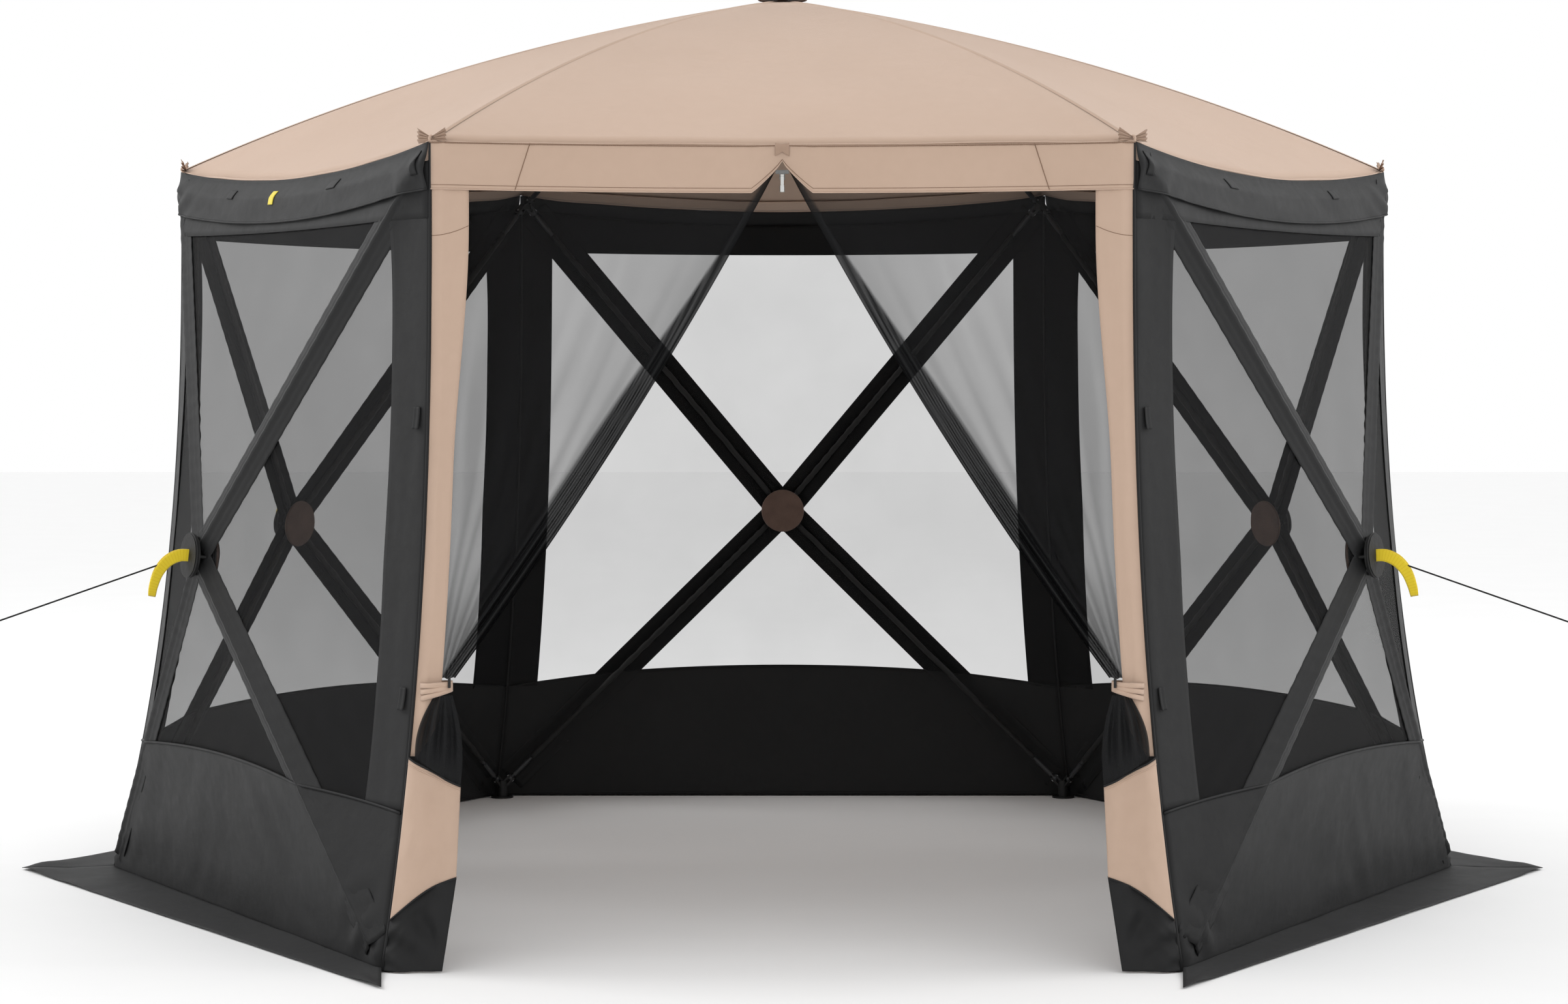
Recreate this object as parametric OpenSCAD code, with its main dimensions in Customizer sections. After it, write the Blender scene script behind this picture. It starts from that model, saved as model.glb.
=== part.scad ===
// Six-sided hub-frame screen house: five bulging mesh walls, one doorway wall, sprung roof.
// Millimetres, +Z up. The origin is on the floor, in the middle of the house. The doorway faces -Y.

/* [House] */
// Distance from the middle to a wall corner at the floor
base_r = 1770; // [1500:10:2150]
// Distance from the middle to a wall corner at the eaves
eave_r = 1575; // [1350:10:1890]
// Height of the eaves at the corners
eave_h = 1845; // [1600:5:2220]
// Height of the roof's top
peak_h = 2290; // [2100:5:2750]
// Extra height of the roof ridges over a straight line, at their middle
ridge_bow = 58; // [20:1:80]

/* [Walls] */
// How far a wall hub's centre stands out of the flat plane through its wall's brackets
hub_bulge = 202; // [150:1:240]
// Height of a wall hub's centre
hub_h = 880; // [750:5:1000]
// Height of the solid lower band of a wall
kick_h = 345; // [250:5:450]
// How much more the wall corners flare near the floor: 1 is a straight corner
corner_flare = 2.6; // [1.5:0.1:3]
// Thickness of every sheet of cloth
cloth_t = 1.2; // [0.8:0.1:2]
// Drop of the valance under the eaves
valance_h = 110; // [80:5:150]
// How far the eaves of the mesh walls dip at their middle
eave_sag = 50; // [20:1:60]
// How far the eave over the doorway dips at its middle
door_sag = 9; // [2:1:20]
// Width of the solid strip beside a wall corner
strip_w = 120; // [80:5:160]
// Width of the flap that lies on the ground
flap_w = 210; // [120:5:300]
// Width of that flap at its ends beside the doorway
flap_door_w = 85; // [60:5:120]

/* [Frame] */
// Diameter of a pole
pole_d = 11; // [9:0.5:13]
// Radius of a wall hub's plates
hub_r = 52; // [48:1:60]
// Radius of the roof hub's plates
roof_hub_r = 84; // [78:1:100]
// Gap between a hub's plates
hub_gap = 30; // [29:0.5:36]
// Thickness of a hub's plates
hub_plate = 4; // [3:0.5:6]
// Radius of the pin a pole turns on
pin_r = 3; // [2.5:0.1:4]
// Distance from a corner bracket's centre to its pole pins
pivot_out = 35; // [30:1:45]

/* [Doorway] */
// Width of a door jamb strip
jamb_w = 85; // [60:1:110]
// Height of the tie that gathers a curtain
tie_h = 614; // [500:2:750]
// Distance from the doorway's corner to the middle of the gathered curtain
tie_in = 57; // [50:1:100]
// Length of the zip's pull tab
zip_pull_l = 36; // [25:1:60]

/* [Guy rope] */
// Diameter of a guy rope
rope_d = 4; // [3:0.5:5]
// Width of the yellow pull straps
strap_w = 24; // [18:1:30]

/* [Hidden] */

TAN = "#c8a78c";
BLACK = "#2b2c2e";
MESH = "#3a3c3f";
GREY = "#55585c";
STEEL = "#b9bcc0";
YELLOW = "#f2d531";
BROWN = "#6b564a";

// Angle from one wall to the next. A wall's half width and the distance to its middle, each over
// the distance to its corners
STEP = 60;
HALF = sin(STEP / 2);
APOTHEM = cos(STEP / 2);
// Clearance between neighbouring sheets of cloth, and room between a pole and the cloth
lap = 0.6;
pole_room = 2.5;

function unit(v) = v / norm(v);
function mix(a, b, t) = a + (b - a) * t;
function flat(rows) = [for (r = rows) for (p = r) p];

// ---- The walls' surface. A wall is described as the front one: x across, -y out, z up ----

// Distance from the middle to the cloth's corner edge at a height: the edge curves in
function corner_r(z) =
    eave_r + (base_r - eave_r) * pow(max(0, eave_h - z) / eave_h, corner_flare);
function half_w(z) = corner_r(z) * HALF;
function corner_ap(z) = corner_r(z) * APOTHEM;

// The poles push out four ridges, from the hub to a point just short of each corner
ridge_inset = 42;
hub_flat = 60;
skin_out = pole_d / 2 + pole_room;
function above_hub(z) = z >= hub_h;
function ridge_t(z) = above_hub(z) ? (z - hub_h) / (eave_h - hub_h) : (hub_h - z) / hub_h;
function ridge_x(z) =
    mix(hub_flat, (above_hub(z) ? eave_r : base_r) * HALF - ridge_inset, ridge_t(z));
function ridge_ap(z) =
    mix(hub_out + skin_out, (above_hub(z) ? eave_r : base_r) * APOTHEM, ridge_t(z));
// Distance of the cloth from the middle of the house, for a place on a wall
function skin_ap(x, z) =
    let (r = ridge_x(z), c = half_w(z))
    abs(x) <= r ? ridge_ap(z) : mix(ridge_ap(z), corner_ap(z), (abs(x) - r) / max(1, c - r));
function skin_pt(x, z, off) = [x, -(skin_ap(x, z) + off), z];
// Places across a wall, out to an edge: the edge, half way to the ridge, the ridge and so on
edge_step = 12;
function across(z, edge) =
    let (r = min(ridge_x(z), edge - edge_step))
    [-edge, -(edge + r) / 2, -r, -r / 2, 0, r / 2, r, (edge + r) / 2, edge];

// A closed sheet between two grids of points, outer and inner, each a list of rows
module shell(outer, inner, wrap = false) {
    nr = len(outer);
    nc = len(outer[0]);
    n = nr * nc;
    last = wrap ? nc - 1 : nc - 2;
    skins = [for (i = [0:nr - 2]) for (j = [0:last])
        let (a = i * nc + j, b = i * nc + (j + 1) % nc, c = b + nc, d = a + nc)
        each [[a, b, c], [a, c, d], [a + n, c + n, b + n], [a + n, d + n, c + n]]];
    rims = [for (j = [0:last])
        let (a = j, b = (j + 1) % nc, c = a + (nr - 1) * nc, d = b + (nr - 1) * nc)
        each [[a, b + n, b], [a, a + n, b + n], [c, d, d + n], [c, d + n, c + n]]];
    sides = wrap ? [] : [for (i = [0:nr - 2])
        let (a = i * nc, b = a + nc, c = a + nc - 1, d = c + nc)
        each [[a, b, b + n], [a, b + n, a + n], [c, d + n, d], [c, c + n, d + n]]];
    polyhedron(concat(flat(outer), flat(inner)), concat(skins, rims, sides));
}

// A closed solid through rings of points, each ring with as many points as the next
module loft(rings) {
    m = len(rings[0]);
    top = (len(rings) - 1) * m;
    skins = [for (i = [0:len(rings) - 2]) for (j = [0:m - 1])
        let (a = i * m + j, b = i * m + (j + 1) % m)
        each [[a, b, b + m], [a, b + m, a + m]]];
    polyhedron(flat(rings), concat(skins,
        [[for (j = [m - 1:-1:0]) j]], [[for (j = [0:m - 1]) top + j]]));
}

module on_wall(k) {
    rotate([0, 0, STEP * k]) children();
}

// A sheet that follows a wall between heights, and stops a margin short of its corners
module wall_cloth(heights, margin) {
    rows = [for (z = heights) [for (x = across(z, half_w(z) - margin)) [x, z]]];
    shell([for (row = rows) [for (p = row) skin_pt(p.x, p.y, cloth_t)]],
          [for (row = rows) [for (p = row) skin_pt(p.x, p.y, 0)]]);
}

// Turns and moves its child so that the child's +X runs along u and its +Y along a
module place(p, u, a) {
    w = cross(u, a);
    multmatrix([[u.x, a.x, w.x, p.x], [u.y, a.y, w.y, p.y], [u.z, a.z, w.z, p.z], [0, 0, 0, 1]])
        children();
}

module rod(p, q, r) {
    d = q - p;
    l = norm(d);
    translate(p) rotate([0, acos(d.z / l), atan2(d.y, d.x)]) cylinder(h = l, r = r, $fn = 32);
}

// ---- The frame's points, in the front wall's frame ----

bracket_inset = 30;
foot_room = 30.77;
top_r = eave_r - bracket_inset;
top_z = eave_h - bracket_inset;
foot_z = 35;
foot_top = foot_z + 18;
foot_r = corner_r(foot_top) - foot_room;
hub_out = mix(foot_r, top_r, (hub_h - foot_z) / (top_z - foot_z)) * APOTHEM + hub_bulge;
hub_c = [0, -hub_out, hub_h];
// The flat plane through a wall's four brackets leans by this much, and the hub slides along its normal
lean = atan((foot_r - top_r) * APOTHEM / (top_z - foot_z));
wall_n = [0, -cos(lean), sin(lean)];
function bracket(p) =
    let (s = p == "a" || p == "c" ? -1 : 1)
    p == "a" || p == "b" ? [s * top_r * HALF, -top_r * APOTHEM, top_z]
                         : [s * foot_r * HALF, -foot_r * APOTHEM, foot_z];
function pole_dir(p) = unit(hub_c - bracket(p));
function pole_axis(p) = unit(cross(wall_n, pole_dir(p)));

// How far from the hub's centre a pole's end stops: the room it needs as the hub is pushed flat
wall_pole_stop = 34;
roof_pole_stop = 62;
eye_t = 8;
eye_r = 8;
ear_t = 6;
ear_gap = eye_t + 1;
pin_play = 0.08;
ferrule_r = pole_d / 2 + 2;
ferrule_l = 60;
neck_r = 3.8;
neck_l = 16;
core_r = 16;
ear_h = 2 * eye_r;
ear_end = pivot_out + eye_r;

// The eye, neck and ferrule that every pole has at its corner end, along +X from its pin
module pole_end() {
    rotate([90, 0, 0]) cylinder(h = eye_t, r = eye_r, center = true, $fn = 40);
    rotate([0, 90, 0]) cylinder(h = neck_l + 1, r = neck_r, $fn = 32);
    translate([neck_l, 0, 0]) rotate([0, 90, 0]) cylinder(h = ferrule_l, r = ferrule_r, $fn = 40);
}

module pin_hole(play) {
    rotate([90, 0, 0]) cylinder(h = 4 * ear_gap, r = pin_r + play, center = true, $fn = 40);
}

module wall_pole(p) {
    u = pole_dir(p);
    reach = norm(hub_c - bracket(p)) - pivot_out - wall_pole_stop;
    color(GREY) place(bracket(p) + pivot_out * u, u, pole_axis(p)) difference() {
        union() {
            pole_end();
            translate([neck_l, 0, 0]) rotate([0, 90, 0])
                cylinder(h = reach - neck_l, r = pole_d / 2, $fn = 32);
        }
        pin_hole(pin_play);
    }
}

// ---- Roof: the poles are arcs in the vertical plane through a corner ----

// Ridge line of the cloth at a distance from the middle
function arc_radius(chord) = (chord * chord / 4 + ridge_bow * ridge_bow) / (2 * ridge_bow);
function bowed(r, r0, z0, r1, z1) =
    let (chord = norm([r1 - r0, z1 - z0]), big = arc_radius(chord),
         mid = [(r0 + r1) / 2, (z0 + z1) / 2], n = unit([z0 - z1, r1 - r0]),
         c = mid - (big - ridge_bow) * n)
    c.y + sqrt(big * big - (r - c.x) * (r - c.x));
canopy_hole = 24;
function ridge_z(r) = bowed(r, 0, peak_h, eave_r, eave_h);
// The roof hub's top plate stays this far under the cloth at its rim
roof_hub_room = 3.1;
roof_plate_top = ridge_z(roof_hub_r / APOTHEM) - roof_hub_room;
roof_hub_z = roof_plate_top - hub_plate - hub_gap / 2;

// The roof pole's pin, end and the centre of its arc, as distance from the middle and height
// On a steep roof its end stands higher between the plates, so that it clears the lower rim
roof_slope = (roof_hub_z - top_z) / (top_r - roof_pole_stop);
roof_lift = max(0, (roof_hub_r - roof_pole_stop) * roof_slope - (hub_gap - pole_d) / 2 + 2);
roof_u = unit([roof_pole_stop - top_r, roof_hub_z + roof_lift - top_z]);
roof_pin = [top_r, top_z] + pivot_out * roof_u;
roof_to = [roof_pole_stop, roof_hub_z + roof_lift];
roof_bow = ridge_bow + 2;
roof_chord = norm(roof_pin - roof_to);
roof_big = (roof_chord * roof_chord / 4 + roof_bow * roof_bow) / (2 * roof_bow);
roof_c = (roof_pin + roof_to) / 2 + (roof_big - roof_bow) * [-roof_u.y, roof_u.x];
function arc_angle(p) = atan2(p.y - roof_c.y, p.x - roof_c.x);

module roof_pole(c) {
    from = arc_angle(roof_pin);
    sweep = arc_angle(roof_to) - from;
    skip = neck_l * 180 / (PI * roof_big);
    color(GREY) rotate([0, 0, STEP * c - 60]) difference() {
        union() {
            place([roof_pin.x, 0, roof_pin.y], [-sin(from), 0, cos(from)], [0, 1, 0]) pole_end();
            translate([roof_c.x, 0, roof_c.y]) rotate([90, 0, 0]) rotate([0, 0, from + skip])
                rotate_extrude(angle = sweep - skip, $fn = 360)
                    translate([roof_big, 0]) circle(r = pole_d / 2, $fn = 32);
        }
        translate([roof_pin.x, 0, roof_pin.y]) pin_hole(pin_play);
    }
}

// Roof cloth: rows from the top to the eaves, each with this many points to a side
roof_rows = 8;
side_pts = 4;
function sag_of(k) = k == 0 ? door_sag : eave_sag;
function roof_pt(r, k, t, up) =
    let (a = STEP * k - 120, b = a + STEP, dip = sag_of(k) * pow(r / eave_r, 2) * 4 * t * (1 - t),
         p = mix([cos(a), sin(a)], [cos(b), sin(b)], t) * r)
    [p.x, p.y, ridge_z(r) - dip + up];
function roof_ring(r, up) =
    [for (k = [0:5]) for (s = [0:side_pts - 1]) roof_pt(r, k, s / side_pts, up)];

module canopy() {
    radii = [for (i = [0:roof_rows]) mix(eave_r, canopy_hole, i / roof_rows)];
    color(TAN) shell([for (r = radii) roof_ring(r, 0)], [for (r = radii) roof_ring(r, -cloth_t)],
        wrap = true);
}

// Valance: hangs from the canopy's edge, outside the wall's cloth. Over the doorway it has a notch
valance_out = 8;
valance_turn = 30;
notch_w = 65;
notch_top = 48;
function eave_z(x, k) = eave_h - sag_of(k) * (1 - pow(x / half_w(eave_h), 2));
function drop_at(x, k) =
    k == 0 && abs(x) < notch_w ? mix(notch_top, valance_h, abs(x) / notch_w) : valance_h;
function door_pt(x, z, off) = [x, -(corner_ap(z) + off), z];
function valance_pt(x, d, k, off) =
    let (z = eave_z(x, k) - d)
    k == 0 || d < valance_turn ? door_pt(x, z, off + (k == 0 ? valance_out : lap))
                               : skin_pt(x, z, off + valance_out);
module valance_sheet(k) {
    w = half_w(eave_h) - lap;
    xs = k == 0 ? [-w, -w / 2, -notch_w, 0, notch_w, w / 2, w]
                : [-w, -ridge_x(eave_h - valance_h), -w / 2, -w / 4, 0,
                   w / 4, w / 2, ridge_x(eave_h - valance_h), w];
    function row(s, off) = [for (x = xs) valance_pt(x, mix(s[0], drop_at(x, k), s[1]), k, off)];
    steps = [[cloth_t + lap, 0], [valance_turn, 0], [valance_turn, 0.5], [valance_turn, 1]];
    shell([for (s = steps) row(s, cloth_t)], [for (s = steps) row(s, 0)]);
}
module valance() {
    for (k = [0:5]) color(k == 0 ? TAN : BLACK) on_wall(k) valance_sheet(k);
}

// ---- Wall cloth ----

wall_top = eave_h - eave_sag - valance_turn - 4;
rows_above = 4;
rows_below = 3;
mesh_heights = concat([for (i = [0:rows_above - 1]) mix(wall_top, hub_h, i / rows_above)],
                      [for (i = [0:rows_below]) mix(hub_h, kick_h + lap, i / rows_below)]);
hub_hole_r = hub_r + 8;
module mesh_wall(k) {
    color(MESH) on_wall(k) difference() {
        wall_cloth(mesh_heights, strip_w + lap);
        place(hub_c, wall_n, [1, 0, 0]) rotate([0, 90, 0])
            cylinder(h = 4 * hub_r, r = hub_hole_r, center = true, $fn = 48);
    }
}

module kick_panels() {
    for (k = [1:5]) color(BLACK) on_wall(k) wall_cloth([for (i = [3:-1:0]) kick_h * i / 3], lap);
}

// The flap on the ground, one mitred strip to a wall. The two beside the doorway taper towards
// it, and end as far forward as the flap behind the house ends backward
flap_in = cloth_t + 2 * lap;
module ground_flap() {
    a = base_r * APOTHEM + flap_in;
    b = base_r * APOTHEM + flap_w;
    d = base_r * APOTHEM + flap_door_w;
    door_end = (b - d * cos(STEP)) / sin(STEP);
    for (k = [1:5]) color(BLACK) on_wall(k) mirror([k == 1 ? 1 : 0, 0, 0]) linear_extrude(cloth_t)
        polygon([[-a * tan(30) + lap, -a], [a * tan(30) - lap, -a],
                 k == 1 || k == 5 ? [door_end, -d] : [b * tan(30) - lap, -b],
                 [-b * tan(30) + lap, -b]]);
}

// Solid strips between the mesh and each corner
function strip_row(z, s, off) =
    [for (t = [0:0.5:1]) skin_pt(s * (half_w(z) - lap - t * (strip_w - lap)), z, off)];
module strip(s) {
    outer = [for (z = mesh_heights) strip_row(z, s, cloth_t)];
    inner = [for (z = mesh_heights) strip_row(z, s, 0)];
    if (s < 0) shell(outer, inner);
    else shell(inner, outer);
}
module corner_strips() {
    color(BLACK) for (k = [1:5]) on_wall(k) for (s = [-1, 1]) strip(s);
}

// Hook-and-loop tabs on the strips beside the doorway
tab = [20, 3, 50];
tab_heights = [595, 1223];
tab_in = 30;
tab_room = 3;
// The cloth's furthest place behind a tab, which stands upright on a leaning wall
function behind_tab(x, z) = max([for (a = [-1, 1], b = [-1, 1])
    skin_ap(x + a * tab.x / 2, z + b * tab.z / 2)]);
module wall_tabs() {
    color(BLACK) for (k = [1, 5]) on_wall(k) for (z = tab_heights) {
        x = (k == 1 ? -1 : 1) * (half_w(z) - tab_in);
        translate([x, -behind_tab(x, z) - cloth_t - tab.y / 2 - tab_room, z])
            cube(tab, center = true);
    }
}

// ---- Doorway ----

door_in = 6;
jamb_zs = [for (i = [8:-1:0]) mix(0, eave_h - door_sag - 4 * lap - cloth_t, i / 8)];
function jamb_ap(z) = lookup(z, [for (h = jamb_zs) [h, corner_ap(h)]]);
module door_jambs() {
    color(TAN) for (s = [-1, 1]) {
        a = [for (z = jamb_zs) [for (t = [0, 1]) door_pt(s * (half_w(z) - lap - t * jamb_w), z, cloth_t)]];
        b = [for (z = jamb_zs) [for (t = [0, 1]) door_pt(s * (half_w(z) - lap - t * jamb_w), z, 0)]];
        if (s < 0) shell(a, b);
        else shell(b, a);
    }
}

// A curtain: a thin triangle above the tie, a bundle below it. Each row is height, inner edge,
// distance from the corner to its outer edge, depth
door_top = eave_h - 60;
curtain_foot = 8;
bundle = 32;
bundle_t = 30;
tie_x = half_w(tie_h) - tie_in;
tie_row = [tie_x - bundle, tie_in - bundle, bundle_t];
function swept(z, t) = [z, mix(tie_x - bundle, 12, t), 28];
curtain_rows = [
    [curtain_foot, half_w(0) - 165, 45, 26],
    [tie_h * 0.3, half_w(tie_h * 0.3) - 147, 30, 24],
    [tie_h * 0.65, half_w(tie_h * 0.65) - 139, 20, 22],
    [tie_h - 25, each tie_row],
    [tie_h + 25, each tie_row],
    [each swept(mix(tie_h, door_top, 0.26), 0.28), 8],
    [each swept(mix(tie_h, door_top, 0.51), 0.55), 4],
    [each swept(mix(tie_h, door_top, 0.77), 0.79), 3],
    [each swept(door_top, 1), 2]];
function curtain_ring(row, s) =
    let (z = row[0], y = -(corner_ap(z) - door_in), a = s * row[1], b = s * (half_w(z) - row[2]),
         ring = [[a, y, z], [b, y, z], [b, y + row[3], z], [a, y + row[3], z]])
    s > 0 ? ring : [ring[1], ring[0], ring[3], ring[2]];
module curtain(s) {
    color(MESH) loft([for (row = curtain_rows) curtain_ring(row, s)]);
}

// Ties: sewn in at the corner, across the jamb, round the curtain and back behind it
tie_room = 2;
tie_side = 4;
tie_t = 2;
tie_band = 22;
tie_open = 30;
module tie_backs() {
    low = jamb_ap(tie_h - tie_band / 2);
    front = low + cloth_t + tie_room;
    deep = low - corner_ap(tie_h + tie_band / 2) + cloth_t + door_in + bundle_t + 2 * tie_room;
    inner = tie_x - bundle - tie_side;
    w = half_w(tie_h) - tie_side - inner;
    color(TAN) for (s = [0, 1]) mirror([s, 0, 0])
        translate([inner, -front, tie_h - tie_band / 2]) linear_extrude(tie_band) difference() {
            translate([-tie_t, -tie_t]) square([w + tie_t, deep + 2 * tie_t]);
            square([w + 1, deep]);
            translate([w - tie_open, 0]) square([tie_open + 1, deep + 2 * tie_t]);
        }
}

// Zip: the slider stops at the top of the doorway, its pull tab hangs from a loop
slider = [12, 8, 20];
zip_z = eave_h - door_sag - notch_top - slider.z - 2;
zip_y = -(corner_ap(zip_z) + valance_out);
zip_tape = [30, 8];
loop_r = 1.2;
pull_t = 1.6;
pull_w = 9;
module zip_slider() {
    color(STEEL) translate([0, zip_y, zip_z]) {
        cube(slider, center = true);
        translate([-zip_tape.x / 2, 0, 4]) cube([zip_tape.x, valance_out + door_in, zip_tape.y]);
        translate([0, -slider.y / 2 - 3, 0]) rotate([0, 90, 0])
            cylinder(h = slider.x, r = loop_r, center = true, $fn = 24);
        for (s = [-1, 1]) translate([s * (slider.x / 2 - 1), -slider.y / 2 - 1.5, 0])
            cube([2, 4, 2 * loop_r], center = true);
    }
}
module zip_pull() {
    eye = loop_r + 0.3;
    color(STEEL) translate([0, zip_y - slider.y / 2 - 3, zip_z]) difference() {
        union() {
            rotate([0, 90, 0]) cylinder(h = pull_w - 2, r = eye + 1.2, center = true, $fn = 32);
            translate([0, 0, -zip_pull_l / 2 - eye]) cube([pull_w - 2, pull_t, zip_pull_l], center = true);
        }
        rotate([0, 90, 0]) cylinder(h = slider.x, r = eye, center = true, $fn = 32);
    }
}

// ---- Brackets, feet and pins ----

// Two ears, from the bracket's centre along +X
module ears() {
    for (s = [-1, 1]) translate([core_r / 2, s * (ear_gap + ear_t) / 2 - ear_t / 2, -ear_h / 2])
        cube([ear_end - core_r / 2, ear_t, ear_h]);
}
// The wall poles that meet at corner c, each with its wall: the doorway wall has none
function poles_at(c, low) =
    [for (e = [[c, low ? "d" : "b"], [(c + 1) % 6, low ? "c" : "a"]]) if (e[0] != 0) e];

module bracket_core(p, h) {
    translate([p.x, p.y, p.z - h / 2]) cylinder(h = h, r = core_r, $fn = 48);
}
module corner_ears(c, low) {
    difference() {
        for (e = poles_at(c, low)) on_wall(e[0])
            place(bracket(e[1]), pole_dir(e[1]), pole_axis(e[1])) ears();
        for (e = poles_at(c, low)) on_wall(e[0])
            place(bracket(e[1]) + pivot_out * pole_dir(e[1]), pole_dir(e[1]), pole_axis(e[1]))
                pin_hole(0);
    }
}
function corner_at(c, r, z) = [r * cos(STEP * c - 60), r * sin(STEP * c - 60), z];

top_core_h = 36;
module top_brackets() {
    color(BLACK) for (c = [0:5]) {
        union() {
            bracket_core(corner_at(c, top_r, top_z), top_core_h);
            corner_ears(c, false);
            rotate([0, 0, STEP * c - 60]) difference() {
                place([top_r, 0, top_z], [roof_u.x, 0, roof_u.y], [0, 1, 0]) ears();
                translate([roof_pin.x, 0, roof_pin.y]) pin_hole(0);
            }
        }
    }
}

foot_plate_r = 34;
foot_plate_t = 5;
module feet() {
    color(BLACK) for (c = [0:5]) union() {
        translate(corner_at(c, foot_r, 0)) cylinder(h = foot_plate_t, r = foot_plate_r, $fn = 64);
        translate(corner_at(c, foot_r, 0)) cylinder(h = foot_top, r = core_r, $fn = 48);
        corner_ears(c, true);
    }
}

pin_l = ear_gap + 2 * ear_t + 3;
module pin_at(p, a) {
    rod(p - a * pin_l / 2, p + a * pin_l / 2, pin_r);
}
module pivot_pins() {
    color(STEEL) {
        for (k = [1:5]) on_wall(k) for (p = ["a", "b", "c", "d"])
            pin_at(bracket(p) + pivot_out * pole_dir(p), pole_axis(p));
        for (c = [0:5]) rotate([0, 0, STEP * c - 60])
            pin_at([roof_pin.x, 0, roof_pin.y], [0, 1, 0]);
    }
}

// ---- Hubs ----

// Two plates joined by a boss and posts, about the local Z
module hub(r, boss_r, posts, first) {
    for (s = [0, 1]) mirror([0, 0, s]) translate([0, 0, hub_gap / 2])
        cylinder(h = hub_plate, r = r, $fn = 96);
    cylinder(h = hub_gap + 2, r = boss_r, center = true, $fn = 48);
    for (i = [0:posts - 1]) rotate([0, 0, first + i * 360 / posts]) translate([r - 9, 0, 0])
        cylinder(h = hub_gap + 2, r = 4, center = true, $fn = 32);
}
cover_t = 3;
cover_r = hub_r + 11;
wall_boss_r = 11;
module wall_hub(k) {
    on_wall(k) place(hub_c, wall_n, [1, 0, 0]) rotate([0, 90, 0]) {
        color(BLACK) hub(hub_r, wall_boss_r, 4, 0);
        color(BROWN) translate([0, 0, -hub_gap / 2 - hub_plate - cover_t])
            cylinder(h = cover_t, r = cover_r, $fn = 96);
        color(BLACK) translate([0, 0, hub_gap / 2 + hub_plate])
            cylinder(h = cover_t, r = hub_r, $fn = 96);
    }
}

roof_boss_r = 18;
cap_r = 62;
cap_t = 7;
module roof_hub() {
    color(BLACK) translate([0, 0, roof_hub_z]) hub(roof_hub_r, roof_boss_r, 6, 30);
}
module roof_cap() {
    color(BROWN) {
        translate([0, 0, peak_h + 2]) cylinder(h = cap_t, r1 = cap_r, r2 = cap_r - 6, $fn = 96);
        translate([0, 0, roof_plate_top]) cylinder(h = peak_h + 3 - roof_plate_top, r = 14, $fn = 48);
    }
}

// Pull strap: out from the hub, round the rope, and down to a loose tail, as out and up
function hub_face(z) = (hub_gap / 2 + hub_plate + cover_t - z * sin(lean)) / cos(lean);
strap_line = [[hub_face(5), 5], [58, 4], [84, -5], [100, -24], [119, -88], [110, -92],
              [91, -30], [78, -13], [56, -5], [hub_face(-5), -5]];
module pull_strap(k) {
    color(YELLOW) on_wall(k) translate([0, -hub_out, hub_h]) rotate([90, 0, -90])
        linear_extrude(strap_w, center = true) polygon(strap_line);
}

// Guy rope: taut, from the strap to the eye that goes over its peg. From the hub, out and up
rope_from = [96.5, -16.7];
rope_to = [518, -145];
eye_ring_r = 13;
module guy_rope(k) {
    u = unit(rope_to - rope_from);
    c = rope_to + (eye_ring_r + rope_d / 2 - lap) * u;
    color(BLACK) on_wall(k) translate(hub_c) {
        rod([0, -rope_from.x, rope_from.y], [0, -rope_to.x, rope_to.y], rope_d / 2);
        translate([0, -c.x, c.y]) rotate([0, 90, 0])
            rotate_extrude($fn = 64) translate([eye_ring_r, 0]) circle(r = rope_d / 2, $fn = 24);
    }
}

canopy();
valance();
kick_panels();
ground_flap();
corner_strips();
door_jambs();
curtain(-1);  // curtain_left
curtain(1);  // curtain_right
tie_backs();
zip_slider();
zip_pull();
wall_tabs();
top_brackets();
feet();
pivot_pins();
roof_hub();
roof_cap();
guy_rope(1);  // guy_rope_1
guy_rope(5);  // guy_rope_5
for (c = [0:5]) roof_pole(c);
for (k = [1:5]) {
    mesh_wall(k);
    wall_hub(k);
    pull_strap(k);
    for (p = ["a", "b", "c", "d"])
        on_wall(k) wall_pole(p);
}
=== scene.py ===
# A six-sided pop-up screen house: a sprung tan roof, five mesh walls that bulge on hub-and-pole
# frames, and a doorway with two gathered curtains. Metres, +Z up, the doorway faces -Y.
import math

import bmesh
import bpy
from mathutils import Matrix, Vector, noise


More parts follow.
